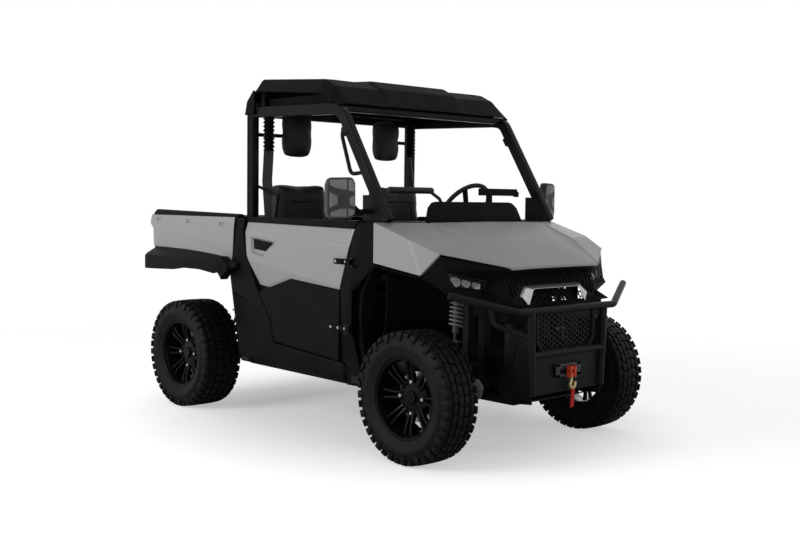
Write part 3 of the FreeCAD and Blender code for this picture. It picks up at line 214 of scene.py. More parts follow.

# ---- Frame, skid plate, hitch ----
# Welded steel tube and channel with a satin black powder coat under patches of dust. The flat skid
# plate is screwed under the rails, and the square hitch receiver is welded between them.


def clouded(name, slot, dark, pale, rough, cloud, grain=None, depth=0.0, spread=None, **surface):
    """A finish that clouds from dark to pale and between two roughnesses, or keeps to one. Its
    relief is a grain, or the clouds themselves. A pattern is (kind, scale, more)."""
    made = Finish(name, slot)
    clouds = getattr(made, cloud[0])(*cloud[1:])
    if depth:
        surface["Normal"] = made.relief(getattr(made, grain[0])(*grain[1:]) if grain else clouds, depth)
    return made.made(Base_Color=made.blend(clouds.ramp(*spread) if spread else clouds, dark, pale),
                     Roughness=clouds.ramp(0.3, 0.7, *rough) if isinstance(rough, tuple) else rough, **surface)


def powder_coat(name, slot, dark, pale, rough, orange_peel):
    """Baked powder paint: a fine orange-peel skin under patches of dust."""
    return clouded(name, slot, dark, pale, (rough - 0.07, rough + 0.08), ("noise", 7.0, 4.0),
                   ("noise", orange_peel, 3.0), 0.0002, (0.35, 0.75), Specular_IOR_Level=0.08)


def coat(finish, *names):
    """Gives CAD nodes a finish."""
    for name in names:
        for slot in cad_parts[name].material_slots:
            slot.material = finish


frame_black = powder_coat("frame_black", "frame_steel", (0.008, 0.009, 0.0088), (0.018, 0.02, 0.019), 0.46,
    900.0)
coat(frame_black, "chassis_frame", "skid_plate", "hitch_receiver", "suspension_arms")

# ---- Battery and drive line ----
# A moulded battery case under the seats, and cast motor and final-drive housings with half shafts.


def casting(name, dark, pale):
    """Sand-cast metal under thin paint: coarse grain, clouded from dark to pale."""
    metal = Finish(name, "cast_case")
    sand = metal.noise(420.0, 4.0)
    return metal.made(Base_Color=metal.blend(metal.noise(11.0, 5.0).ramp(0.3, 0.7), dark, pale), Metallic=0.35,
                      Roughness=sand.ramp(0.3, 0.7, 0.45, 0.7), Normal=metal.relief(sand, 0.0006))


cast_dark = casting("cast_dark", (0.02, 0.021, 0.022), (0.05, 0.05, 0.05))
cast_pale = casting("cast_pale", (0.22, 0.22, 0.21), (0.38, 0.38, 0.36))
coat(cast_dark, "drivetrain", "winch")
coat(cast_pale, "knuckle_right", "knuckle_left", "steering_rack")

# ---- Coil-over dampers ----
# A gas damper at each wheel, inside a grey coil spring that sits between a collar near the upper
# eye and a perch on the rod. The eyes are bolted to the frame and to the upper arm.
WHEEL_PLACES = ("front_right", "front_left", "rear_right", "rear_left")
axle = {place: sum(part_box("rim_" + place), Vector()) / 2 for place in WHEEL_PLACES}
DAMPERS = (
    # upper eye and lower eye, from the axle's x
    ("front_right", (0.012, -0.4, 0.79), (0.03, -0.44, 0.4655)),
    ("rear_right", (0.055, -0.325, 0.736), (0.032, -0.421, 0.47)),
)
SPRING_RADIUS, SPRING_WIRE, SPRING_TURNS = 0.031, 0.0048, 5.5
SPRING_SPAN = (0.05, 0.4)
# Start, end and radius along the damper: collar, perch, body, rod, perch's sleeve.
STAGES = ((0.03, 0.055, 0.037), (0.61, 0.64, 0.037), (0.02, 0.5, 0.017), (0.5, 0.97, 0.008), (0.64, 0.7, 0.014))
EYE_HALF = Vector((0.016, 0, 0))


def round_bar(radius, sides=12):
    return [(radius * math.cos(i * math.tau / sides),
        radius * math.sin(i * math.tau / sides)) for i in range(sides)]


def flat_bar(across, thick):
    return [(-across / 2, -thick / 2), (across / 2, -thick / 2), (across / 2, thick / 2), (-across / 2,
        thick / 2)]


def skinned(shape, rings, around=True, caps=(0, -1), loop=False):
    """Joins rings of corners, or open lines, by a skin, and caps its ends."""
    rings = [[shape.verts.new(corner) for corner in ring] for ring in rings]
    count = len(rings[0])
    for first, second in zip(rings, rings[1:] + rings[:1] if loop else rings[1:]):
        for i in range(count if around else count - 1):
            j = (i + 1) % count
            shape.faces.new((first[i], first[j], second[j], second[i]))
    for end in caps:
        shape.faces.new(rings[end])
    return shape


def swept(shape, path, section, side=None, closed=False, sizes=None):
    """Runs a section of (sideways, upwards) points along a path; side is the way that sideways faces."""
    path = [Vector(point) for point in path]
    count = len(path)
    rings = []
    across = Vector(side) if side else (path[1] - path[0]).orthogonal()
    for i, point in enumerate(path):
        ahead = path[(i + 1) % count] if closed or i < count - 1 else point
        behind = path[i - 1] if closed or i else point
        way = (ahead - behind).normalized()
        base = Vector(side) if side else across
        across = (base - way * base.dot(way)).normalized()
        above = way.cross(across)
        size = sizes[i] if sizes else 1.0
        rings.append([point + (across * a + above * b) * size for a, b in section])
    return skinned(shape, rings, caps=() if closed else (0, -1), loop=closed)


def bent(points, radius, steps=6):
    """A path through points whose corners are bent round."""
    points = [Vector(point) for point in points]
    path = [points[0]]
    for before, corner, after in zip(points, points[1:], points[2:]):
        into, out = corner - before, after - corner
        turn = into.angle(out)
        back = min(radius * math.tan(turn / 2), into.length * 0.48, out.length * 0.48)
        start, end = corner - into.normalized() * back, corner + out.normalized() * back
        for i in range(steps + 1):
            t = i / steps
            path.append(start * (1 - t) ** 2 + corner * 2 * t * (1 - t) + end * t * t)
    path.append(points[-1])
    return path


def both_sides(shape):
    """Adds the left-hand twin of everything in a right-hand shape."""
    twin = bmesh.ops.duplicate(shape, geom=shape.verts[:] + shape.edges[:] + shape.faces[:])["geom"]
    for vert in (part for part in twin if isinstance(part, bmesh.types.BMVert)):
        vert.co.y = -vert.co.y
    bmesh.ops.reverse_faces(shape, faces=[part for part in twin if isinstance(part, bmesh.types.BMFace)])
    return shape


def settled(obj):
    """Works an object's modifiers into its mesh."""
    ready = bpy.data.meshes.new_from_object(obj.evaluated_get(bpy.context.evaluated_depsgraph_get()))
    obj.modifiers.clear()
    obj.data = ready
    return obj


def rounded(obj, width, segments, angle):
    """Rounds the edges of an object that turn by more than an angle."""
    rounding = obj.modifiers.new("rounding", "BEVEL")
    rounding.width, rounding.segments, rounding.limit_method = width, segments, "ANGLE"
    rounding.angle_limit = math.radians(angle)


def loose(shape, name):
    """A shape as an object of its own."""
    obj = bpy.data.objects.new(name, bpy.data.meshes.new(name))
    shape.to_mesh(obj.data)
    shape.free()
    bpy.context.collection.objects.link(obj)
    return obj


def reopened(obj):
    """An object's mesh as a shape in the making; the object goes."""
    shape = bmesh.new()
    shape.from_mesh(obj.data)
    bpy.data.objects.remove(obj)
    return shape


def piece(shape, name, finish, stands_for="", body="chassis", slot=None, fold=0.0, wall=0.0, edge=0.0,
        smooth=35.0, facing=None):
    """A finished piece from a mesh. fold rounds the folds of a sheet, wall thickens it inwards and
    edge rounds its corners. facing is the way that an open sheet looks; a closed shape needs none."""
    bmesh.ops.remove_doubles(shape, verts=shape.verts, dist=1e-5)
    if facing is None:
        bmesh.ops.recalc_face_normals(shape, faces=shape.faces)
    else:
        shape.normal_update()
        bmesh.ops.reverse_faces(shape, faces=[f for f in shape.faces if f.normal.dot(facing(
            f.calc_center_median())) < 0])
    obj = loose(shape, name)
    if fold:
        rounded(obj, fold, 3, 3)
    if wall:
        thicken = obj.modifiers.new("wall", "SOLIDIFY")
        thicken.thickness, thicken.offset, thicken.use_even_offset = wall, -1, True
    if edge:
        rounded(obj, edge, 2, 30)
    settled(obj)
    obj.data.shade_smooth()
    obj.data.set_sharp_from_angle(angle=math.radians(smooth))
    if fold or edge:
        flats = obj.modifiers.new("flats", "WEIGHTED_NORMAL")
        flats.keep_sharp, flats.weight = True, 80
        settled(obj)
    obj.data.materials.clear()
    obj.data.materials.append(finish)
    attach(obj, body)
    if stands_for:
        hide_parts(stands_for)
    return obj


spring_grey = powder_coat("spring_grey", "spring_steel", (0.17, 0.18, 0.18), (0.3, 0.31, 0.31), 0.35, 700.0)
springs, dampers = bmesh.new(), bmesh.new()
for place, top, bottom in DAMPERS:
    offset = Vector((axle[place].x, 0, 0))
    top, bottom = Vector(top) + offset, Vector(bottom) + offset
    run = bottom - top
    side = run.cross(Vector((1, 0, 0))).normalized()
    front = side.cross(run).normalized()
    coil = []
    steps = int(SPRING_TURNS * 20)
    for i in range(steps + 1):
        turn = math.tau * SPRING_TURNS * i / steps
        along = SPRING_SPAN[0] + (SPRING_SPAN[1] - SPRING_SPAN[0]) * i / steps
        coil.append(top + run * along + (side * math.cos(turn) + front * math.sin(turn)) * SPRING_RADIUS)
    swept(springs, coil, round_bar(SPRING_WIRE, 8))
    for start, end, radius in STAGES:
        swept(dampers, [top + run * start, top + run * end], round_bar(radius, 24))
    for eye in (top, bottom):
        swept(dampers, [eye - EYE_HALF, eye + EYE_HALF], round_bar(0.013, 20))
piece(both_sides(springs), "coil_springs", spring_grey, "dampers")
piece(both_sides(dampers), "damper_bodies", cast_dark, edge=0.0008)

# ---- Tyres ----
# Black off-road tyres: a rounded carcass with stepped shoulder lugs that run down the sidewall and
# two rows of chunky centre blocks, staggered from side to side.


class Layout(Tree):
    """A Geometry Nodes tree in the making, with named inputs."""

    def __init__(self, name, **inputs):
        super().__init__(bpy.data.node_groups.new(name, "GeometryNodeTree"))
        for label, kind in {"Geometry": "Geometry", **inputs}.items():
            self.tree.interface.new_socket(label, in_out="INPUT", socket_type="NodeSocket" + kind)
        self.tree.interface.new_socket("Geometry", in_out="OUTPUT", socket_type="NodeSocketGeometry")
        self.source = self.tree.nodes.new("NodeGroupInput")

    def given(self, label):
        return Reading(self, self.source.outputs[label])

    def grown(self, obj, **values):
        """Works the tree into an object's mesh, with these inputs."""
        modifier = obj.modifiers.new("layout", "NODES")
        modifier.node_group = self.tree
        for item in self.tree.interface.items_tree:
            if item.in_out == "INPUT" and item.name in values:
                modifier[item.identifier] = values[item.name]
        return settled(obj)


# Copies of a shape, each moved by Step and turned by Turn (radians about X, Y, Z) past the last.
row = Layout("row", Count="Int", Step="Vector", Turn="Vector", Finish="Material")
index = row.node("GeometryNodeInputIndex", {}, {})
row_at, row_turn = (row.node("ShaderNodeVectorMath", {"operation": "SCALE"}, {"Vector": row.given(label),
    "Scale": index}) for label in ("Step", "Turn"))
row_copies = row.node("GeometryNodeInstanceOnPoints", {}, {"Points": row.node("GeometryNodePoints", {},
    {"Count": row.given("Count"), "Position": row_at}), "Instance": row.given("Geometry"),
    "Rotation": row.node("FunctionNodeEulerToRotation", {}, {"Euler": row_turn})})
row.put(row.tree.nodes.new("NodeGroupOutput").inputs["Geometry"], row.node("GeometryNodeSetMaterial", {},
    {"Geometry": row.node("GeometryNodeRealizeInstances", {}, {"Geometry": row_copies}),
    "Material": row.given("Finish")}))


def copied(shape, finish, count, step=(0, 0, 0), turn=(0, 0, 0)):
    """A row of a shape, as a new shape in the making."""
    return reopened(row.grown(loose(shape, "pitch"), Count=count, Step=step, Turn=turn, Finish=finish))


def turned(shape, profile, steps):
    """Turns a closed profile of (radius, offset) about the Y axis."""
    turns = [math.tau * i / steps for i in range(steps)]
    return skinned(shape, [[(r * math.sin(turn), w, r * math.cos(turn)) for r, w in profile] for turn in turns],
                   caps=(), loop=True)


rubber = clouded("rubber", "tyre", (0.0045, 0.0048, 0.0045), (0.0105, 0.0105, 0.0085), (0.46, 0.6), ("noise",
    14.0, 5.0), ("noise", 260.0, 4.0), 0.0004, (0.35, 0.8), Specular_IOR_Level=0.09)

TYRE_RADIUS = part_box("tyre_front_right")[1].z / 2
PITCHES = 20
BEAD_RADIUS = 0.1905
# The tread's outer surface over half its width: (share, radius, share of the half width)
TREAD = ((0.0, 1.0, 0.0), (0.5, 0.998, 0.5), (0.84, 0.99, 0.84), (0.97, 0.974, 0.945), (1.05, 0.948, 0.975),
         (1.2, 0.905, 0.985), (1.4, 0.845, 0.975))
# What a lug stands on, below that surface: (share, radius less, width less), in metres
FOOT = ((0.0, 0.0125, 0.0), (0.84, 0.0125, 0.0), (0.97, 0.013, 0.01), (1.05, 0.008, 0.014), (1.2, 0.002, 0.013),
        (1.4, 0.0, 0.006))
LUGS = (
    # stations of (share across, start and end within the pitch); the other half is staggered by half a pitch
    ((0.03, 0.02, 0.4), (0.1, 0.03, 0.45), (0.26, 0.06, 0.49), (0.32, 0.14, 0.46)),
    ((0.03, 0.51, 0.9), (0.12, 0.53, 0.95), (0.27, 0.56, 0.99), (0.34, 0.62, 0.95)),
    ((0.4, 0.25, 0.58), (0.46, 0.2, 0.64), (0.58, 0.17, 0.61), (0.64, 0.23, 0.52)),
    ((0.41, 0.77, 1.08), (0.47, 0.71, 1.13), (0.6, 0.68, 1.09), (0.66, 0.73, 1.02)),
    ((0.74, 0.06, 0.33), (0.84, 0.02, 0.38), (0.97, 0.02, 0.38), (1.05, 0.03, 0.38), (1.2, 0.04, 0.37), (1.38, 0.08, 0.33)),
    ((0.77, 0.57, 0.82), (0.85, 0.53, 0.87), (0.97, 0.52, 0.87), (1.05, 0.53, 0.87), (1.14, 0.56, 0.85)),
)


def between(table, share):
    """A row of a table, read between its rows."""
    for low, high in zip(table, table[1:]):
        if share <= high[0]:
            t = (share - low[0]) / (high[0] - low[0])
            return [a + (b - a) * t for a, b in zip(low, high)]
    return list(table[-1])


def tread_point(share, turn, half, sunk):
    """A point on a lug's top, or sunk towards its foot."""
    size = abs(share)
    radius = between(TREAD, size)[1] * TYRE_RADIUS - between(FOOT, size)[1] * sunk
    width = between(TREAD, size)[2] * half - between(FOOT, size)[2] * sunk
    angle = turn * math.tau / PITCHES
    return (radius * math.sin(angle), math.copysign(width, share), radius * math.cos(angle))


def lug(shape, stations, half, hand, late):
    """One lug: its top is drawn in from its foot, and its top edge is rounded."""
    rings = []
    last = len(stations) - 1
    for i, (share, start, end) in enumerate(stations):
        ease = 0.006 if i == 0 else -0.006 if i == last else 0.0
        rings.append([tread_point(hand * (share + shift), turn + late, half, sunk) for turn, sunk, shift in (
            (start - 0.015, 1.1, 0), (start, 0.12, ease), (start + 0.03, 0.0, ease * 2),
            (end - 0.03, 0.0, ease * 2), (end, 0.12, ease), (end + 0.015, 1.1, 0))])
    skinned(shape, rings, around=False)


def tyre(rim_half, half):
    """A whole tyre about the Y axis, its outboard side towards +Y."""
    pitch = bmesh.new()
    for hand, late in ((1, 0.0), (-1, 0.5)):
        for stations in LUGS:
            lug(pitch, stations, half, hand, late)
    shape = copied(pitch, rubber, PITCHES, turn=(0, math.tau / PITCHES, 0))
    outside = [(BEAD_RADIUS, rim_half - 0.006), (0.2035, rim_half - 0.005), (0.206, rim_half + 0.001), (0.211,
        rim_half + 0.0035), (0.217, rim_half + 0.0045), (0.227, half - 0.0115), (0.24, half - 0.005), (0.253,
        half - 0.0015), (0.262, half - 0.0003), (0.268, half - 0.0012), (0.2715, half - 0.0045), (0.282,
        half - 0.0075), (0.298, half - 0.011), (0.307, half - 0.0145), (0.315, half - 0.021), (0.318,
        half * 0.7), (0.3185, half * 0.5), (0.3185, 0)]
    inside = [(BEAD_RADIUS, rim_half - 0.022), (0.21, rim_half - 0.022), (0.24, half - 0.018), (0.28,
        half - 0.022), (0.298, half * 0.6)]
    ring = outside + [(r, -w) for r, w in outside[-2::-1]]
    ring += [(r, -w) for r, w in inside] + inside[::-1]
    return turned(shape, ring, 96)


# ---- Rims ----
# Cast alloy rims painted gloss black: eight twin spokes set well back from the lip, a hub with four
# nuts and a round cap, and a brake disc behind them.
rim_black = clouded("rim_black", "rim_paint", (0.0022, 0.0022, 0.0025), (0.0045, 0.0045, 0.005), (0.16, 0.24),
                    ("noise", 18.0, 3.0), ("noise", 600.0, 2.0), 0.00015, Specular_IOR_Level=0.09)
bright_steel = clouded("bright_steel", "spring_steel", (0.42, 0.42, 0.43), (0.62, 0.62, 0.63), (0.22, 0.36),
                       ("noise", 90.0, 4.0), depth=0.0001, Metallic=1.0)
SPOKE_PAIRS = 8
LIP_RADIUS, BARREL_RADIUS = 0.203, 0.183
NUT_CIRCLE, NUTS = 0.078, 4
# A spoke runs out from the hub: (radius, back from the lip, width, depth, away from its twin)
SPOKE = ((0.07, 0.058, 0.017, 0.03, 0.012), (0.105, 0.046, 0.015, 0.026, 0.0135), (0.14, 0.036, 0.014, 0.024,
    0.016), (0.168, 0.032, 0.017, 0.026, 0.019), (0.1875, 0.031, 0.026, 0.03, 0.0225))


def rim(half):
    """A whole rim about the Y axis, its outboard side towards +Y."""
    pair = bmesh.new()
    for hand in (-1, 1):
        skinned(pair, [[(hand * splay + a, half - back + b, radius) for a, b in (
            (-width / 2, -depth), (-width / 2, -0.004), (-width / 2 + 0.004, 0), (width / 2 - 0.004, 0),
            (width / 2, -0.004), (width / 2, -depth))] for radius, back, width, depth, splay in SPOKE])
    shape = copied(pair, rim_black, SPOKE_PAIRS, turn=(0, math.tau / SPOKE_PAIRS, 0))
    barrel = [(LIP_RADIUS, half), (0.2, half + 0.0005), (0.196, half - 0.003), (0.193, half - 0.012),
              (0.188, half - 0.02), (BARREL_RADIUS, half - 0.04), (0.18, half - 0.075), (0.172, half - 0.095),
              (0.172, 0.02 - half), (BARREL_RADIUS, -half), (LIP_RADIUS, -half), (LIP_RADIUS, 0.006 - half),
              (BEAD_RADIUS, 0.008 - half), (BEAD_RADIUS, half - 0.006), (LIP_RADIUS, half - 0.005)]
    hub = [(0.0, half - 0.048), (0.03, half - 0.048), (0.033, half - 0.051), (0.034, half - 0.062),
           (0.094, half - 0.066), (0.098, half - 0.07), (0.098, half - 0.078), (0.0, half - 0.08)]
    return turned(turned(shape, barrel, 96), hub, 64)


def wheel_nuts(half):
    """Four bright nuts in their seats."""
    seat = half - 0.066
    nut = swept(bmesh.new(), [(0, seat + out, NUT_CIRCLE) for out in (-0.004, 0.012, 0.015)], round_bar(0.0105,
        6), sizes=(1, 1, 0.8))
    return copied(nut, bright_steel, NUTS, turn=(0, math.tau / NUTS, 0))


def brake_disc(half):
    """A steel disc on the hub's inner face."""
    return turned(bmesh.new(), [(0.05, half - 0.095), (0.125, half - 0.095), (0.125, half - 0.1), (0.05,
        half - 0.1)], 64)


WHEEL_PARTS = (
    # piece, maker, finish, replaced node, rounded edge
    ("tyre_tread", tyre, rubber, "tyre_", 0.0), ("alloy_rim", rim, rim_black, "rim_", 0.0012),
    ("wheel_nuts", wheel_nuts, bright_steel, "", 0.0), ("brake_disc", brake_disc, bright_steel, "", 0.0008),
)
for place in WHEEL_PLACES:
    halves = [(high.y - low.y) / 2 for low, high in (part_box("rim_" + place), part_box("tyre_" + place))]
    hand = -1 if "right" in place else 1
    for label, make, finish, node, edge in WHEEL_PARTS:
        shape = make(*halves) if make is tyre else make(halves[0])
        bmesh.ops.transform(shape, matrix=Matrix.Translation(axle[place]) @ Matrix.Diagonal((hand, hand, 1, 1)),
                            verts=shape.verts)
        piece(shape, "%s_%s" % (label, place), finish, node and node + place, "wheel_" + place, edge=edge,
            smooth=40.0)

# ---- Doors ----
# Half doors of thick black plastic. A painted skin with a pressed handle pocket is clipped into the
# upper half, and two strap hinges carry the door at its front edge.


def wound(ring):
    """A ring of (across, up) corners, put in anticlockwise order."""
    twice = sum(x0 * z1 - x1 * z0 for (x0, z0), (x1, z1) in zip(ring, ring[1:] + ring[:1]))
    return list(ring) if twice > 0 else list(ring)[::-1]


def inset(ring, distance):
    """An anticlockwise ring drawn in by a distance, or let out by a negative one."""
    drawn = []
    for before, corner, after in zip(ring[-1:] + ring[:-1], ring, ring[1:] + ring[:1]):
        before, corner, after = Vector(before), Vector(corner), Vector(after)
        into, out = (corner - before).normalized(), (after - corner).normalized()
        lefts = Vector((-into.y - out.y, into.x + out.x))
        drawn.append(tuple(corner + lefts * (distance / max(0.3, 1 + into.dot(out)))))
    return drawn


def depth_in(point, ring):
    """How far a point is inside a ring; outside, how far it is from it, as a negative number."""
    x, z = point
    near, inside = 1e9, False
    for (x0, z0), (x1, z1) in zip(ring, ring[1:] + ring[:1]):
        dx, dz = x1 - x0, z1 - z0
        t = max(0.0, min(1.0, ((x - x0) * dx + (z - z0) * dz) / (dx * dx + dz * dz)))
        near = min(near, math.hypot(x - x0 - t * dx, z - z0 - t * dz))
        if (z0 > z) != (z1 > z) and x < x0 + (z - z0) / dz * dx:
            inside = not inside
    return near if inside else -near


FOLD = 0.004


def beyond(point, start, end):
    """How far a point is to the left of a line, eased over the fold's width."""
    dx, dz = end[0] - start[0], end[1] - start[1]
    d = ((point[1] - start[1]) * dx - (point[0] - start[0]) * dz) / math.hypot(dx, dz)
    return 0.0 if d < -FOLD else d if d > FOLD else (d + FOLD) ** 2 / (4 * FOLD)


def pressed(outline, folds=(), pockets=(), holes=(), step=0.025, roll=0.004):
    """A sheet pressed into shape, as (across, depth, up) points: depth is how far a point is sunk.
    A fold is (start, end, fall): left of its line the sheet sinks by fall a metre. A pocket is
    (ring, slope, depth). The sheet's edge and its holes' edges are rolled in by a radius."""
    outline = wound(outline)
    pockets = [(wound(ring), slope, depth) for ring, slope, depth in pockets]
    holes = [wound(ring) for ring in holes]
    rings = [outline, inset(outline, roll * 0.3), inset(outline, roll)]
    for ring, slope, depth in pockets:
        rings += [ring, inset(ring, slope)]
    for ring in holes:
        rings += [ring, inset(ring, -roll * 0.3), inset(ring, -roll)]
    points, edges = [], []
    for ring in rings:
        first = len(points)
        for (x0, z0), (x1, z1) in zip(ring, ring[1:] + ring[:1]):
            parts = max(1, round(math.hypot(x1 - x0, z1 - z0) / step))
            points += [Vector((x0 + (x1 - x0) * i / parts, z0 + (z1 - z0) * i / parts)) for i in range(parts)]
        edges += [(i, i + 1) for i in range(first, len(points) - 1)] + [(len(points) - 1, first)]
    for start, end, fall in folds:
        along = (Vector(end) - Vector(start)).normalized()
        across = Vector((-along.y, along.x)) * FOLD
        for shift in (-1, 0, 1):
            middle = Vector(start) + across * shift
            edges.append((len(points), len(points) + 1))
            points += [middle - along * 3, middle + along * 5]
    low = [min(c[i] for c in outline) for i in (0, 1)]
    high = [max(c[i] for c in outline) for i in (0, 1)]
    for i in range(int((high[0] - low[0]) / step) + 1):
        for j in range(int((high[1] - low[1]) / step) + 1):
            spot = (low[0] + (i + 0.5 + 0.25 * (j % 2)) * step, low[1] + (j + 0.5) * step)
            clear = depth_in(spot, outline) > roll + 0.4 * step
            clear = clear and all(abs(depth_in(spot, ring)) > 0.4 * step for ring in rings[3:])
            for start, end, fall in folds:
                clear = clear and abs(beyond(spot, start, end) - beyond(spot, end, start)) > 0.4 * step
            if clear:
                points.append(Vector(spot))
    flat, _, faces, _, _, _ = delaunay_2d_cdt(points, edges, [], 0, 1e-5)
    shape = bmesh.new()
    corners = {}
    for face in faces:
        middle = sum((flat[i] for i in face), Vector((0, 0))) / len(face)
        if depth_in(middle, outline) <= 0 or any(depth_in(middle, ring) > 0 for ring in holes):
            continue
        for i in face:
            if i not in corners:
                at = tuple(flat[i])
                sunk = sum(fall * beyond(at, start, end) for start, end, fall in folds)
                for ring, slope, depth in pockets:
                    share = max(0.0, min(1.0, depth_in(at, ring) / slope))
                    sunk += depth * share
                near = min([depth_in(at, outline)] + [-depth_in(at, ring) for ring in holes])
                if near < roll:
                    sunk += roll - math.sqrt(max(0.0, roll ** 2 - (roll - max(near, 0.0)) ** 2))
                corners[i] = shape.verts.new((at[0], sunk, at[1]))
        shape.faces.new([corners[i] for i in face])
    return shape


def stood(shape, origin, outward=(0, -1, 0), up=(0, 0, 1)):
    """Puts an (across, depth, up) shape on the vehicle: where its zero is, and the way it faces."""
    depth = -Vector(outward).normalized()
    across = depth.cross(Vector(up)).normalized()
    turn = Matrix((across, depth, across.cross(depth))).transposed().to_4x4()
    bmesh.ops.transform(shape, matrix=Matrix.Translation(origin) @ turn, verts=shape.verts)
    return shape


def backed(shape, y):
    """Closes a sheet with walls back to a flat face, y deep."""
    rim = [edge for edge in shape.edges if edge.is_boundary]
    grown = bmesh.ops.extrude_edge_only(shape, edges=rim)["geom"]
    for vert in (part for part in grown if isinstance(part, bmesh.types.BMVert)):
        vert.co.y = y
    bmesh.ops.triangle_fill(shape, use_beauty=True, edges=[p for p in grown if isinstance(p,
        bmesh.types.BMEdge)])
    return shape


def plate(ring, depth, origin, outward=(0, -1, 0), **pressing):
    """A pressed sheet, closed to a flat back and stood in its place."""
    return stood(backed(pressed(ring, **pressing), depth), origin, outward)


def handed(shape, side):
    """A right-hand shape as it is, or turned into its left-hand twin."""
    if side == "left":
        bmesh.ops.scale(shape, vec=(1, -1, 1), verts=shape.verts)
        bmesh.ops.reverse_faces(shape, faces=shape.faces)
    return shape


def block(shape, *corners):
    """Plain blocks, each between two corners."""
    for low, high in zip(corners[::2], corners[1::2]):
        for vert in bmesh.ops.create_cube(shape, size=1.0)["verts"]:
            vert.co = [(a + b) / 2 + c * (b - a) for a, b, c in zip(Vector(low), Vector(high), vert.co)]
    return shape


def bolts(spots, way, radius):
    """Hexagon heads, each on its washer."""
    shape, way = bmesh.new(), Vector(way)
    for at in map(Vector, spots):
        swept(shape, [at, at + way * radius * 0.25], round_bar(radius * 1.5, 16))
        swept(shape, [at + way * radius * out for out in (0.25, 0.85, 1.0)], round_bar(radius, 6), sizes=(1, 1,
            0.8))
    return shape


def outwards(at):
    """The way that a side panel faces."""
    return Vector((0, at.y, 0))


def moulding(name, slot, dark, pale, rough, grain=1500.0, depth=0.00022):
    """Moulded plastic with a fine leathery grain, a little chalky in places."""
    return clouded(name, slot, dark, pale, (rough - 0.06, rough + 0.08), ("noise", 6.0, 4.0), ("cells", grain),
        depth, (0.35, 0.75), Specular_IOR_Level=0.035)


black_moulding = moulding("black_moulding", "black_plastic", (0.0034, 0.0041, 0.0038), (0.007, 0.0078, 0.0074),
    0.46)

paint = Finish("grey_metallic", "grey_paint")
grey_paint = paint.made(
    Base_Color=paint.blend(paint.cells(2400.0).ramp(0.1, 0.7), (0.225, 0.228, 0.233), (0.33, 0.333, 0.338)),
    Metallic=0.1, Roughness=paint.noise(3.0).ramp(0.3, 0.7, 0.36, 0.42), Coat_Weight=0.08, Coat_Roughness=0.12,
    Specular_IOR_Level=0.22, Normal=paint.relief(paint.noise(240.0), 0.00004))

SIDE = 0.7
DOOR = [(-0.372, 1.18), (-0.372, 1.161), (-0.39, 1.097), (-0.377, 0.964), (-0.256, 0.758), (-0.22, 0.708),
        (-0.143, 0.611), (-0.108, 0.487), (0.482, 0.446), (0.472, 0.815), (0.58, 1.141), (0.618, 1.18)]
SKIN = [(-0.368, 1.155), (-0.387, 1.097), (-0.374, 0.965), (-0.255, 0.762), (0.042, 0.85), (0.47, 0.819),
        (0.577, 1.14)]
DOOR_FOLDS = (((-0.33, 1.095), (0.192, 1.063), 0.12), ((0.466, 0.831), (-0.173, 0.906), 0.22))
LOWER_FOLDS = (((0.3, 0.75), (-0.12, 0.5), -0.04),)
HANDLE_POCKET = [(-0.335, 1.071), (-0.071, 1.049), (-0.215, 0.958), (-0.323, 0.977)]
HANDLE_GRIP = [(-0.312, 1.058), (-0.128, 1.042), (-0.205, 0.992), (-0.306, 1.002)]
STRAPS = ((0.969, 0.435), (0.621, 0.4))
PIN_X, PIN_Y, PIN_RADIUS = 0.567, -SIDE - 0.017, 0.0105


def pin(shape, low, high):
    """A length of the door hinges' upright pin."""
    return swept(shape, [(PIN_X, PIN_Y, low), (PIN_X, PIN_Y, high)], round_bar(PIN_RADIUS, 24))


for side in ("right", "left"):
    shell = plate(DOOR, 0.04, (0, -SIDE, 0), folds=LOWER_FOLDS, pockets=[(inset(wound(SKIN), -0.003), 0.002,
        0.024)], roll=0.006)
    for z, back in STRAPS:
        pin(block(shell, (back, -SIDE - 0.012, z - 0.0145), (0.552, -SIDE + 0.004, z + 0.0145)), z - 0.0145,
            z + 0.0145)
        block(shell, (0.545, -SIDE - 0.026, z - 0.012), (0.567, -SIDE - 0.012, z + 0.012))
    block(shell, (-0.36, -SIDE + 0.002, 1.166), (0.612, -SIDE + 0.038, 1.183))
    skin = stood(pressed(SKIN, DOOR_FOLDS, [(HANDLE_POCKET, 0.012, 0.015)], step=0.02), (0, -SIDE - 0.002, 0))
    grip = plate(HANDLE_GRIP, 0.016, (0, -SIDE + 0.003, 0), step=0.03)
    block(grip, (0.484, -SIDE - 0.02, 0.956), (0.508, -SIDE - 0.01, 0.982))
    heads = bolts([(x, -SIDE - 0.012, z) for x, z in (
        (0.45, 0.969), (0.53, 0.969), (0.415, 0.621), (0.53, 0.621), (0.474, 0.621))], (0, -1, 0), 0.005)
    for label, shape, finish, made in (("shell", shell, black_moulding, {"edge": 0.0022}),
                                       ("skin", skin, grey_paint, {"wall": 0.003, "facing": outwards}),
                                       ("handle", grip, black_moulding, {"edge": 0.0012}),
                                       ("bolts", heads, bright_steel, {})):
        name = "door_%s_%s" % (label, side)
        piece(handed(shape, side), name, finish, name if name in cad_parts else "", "door_" + side, **made)

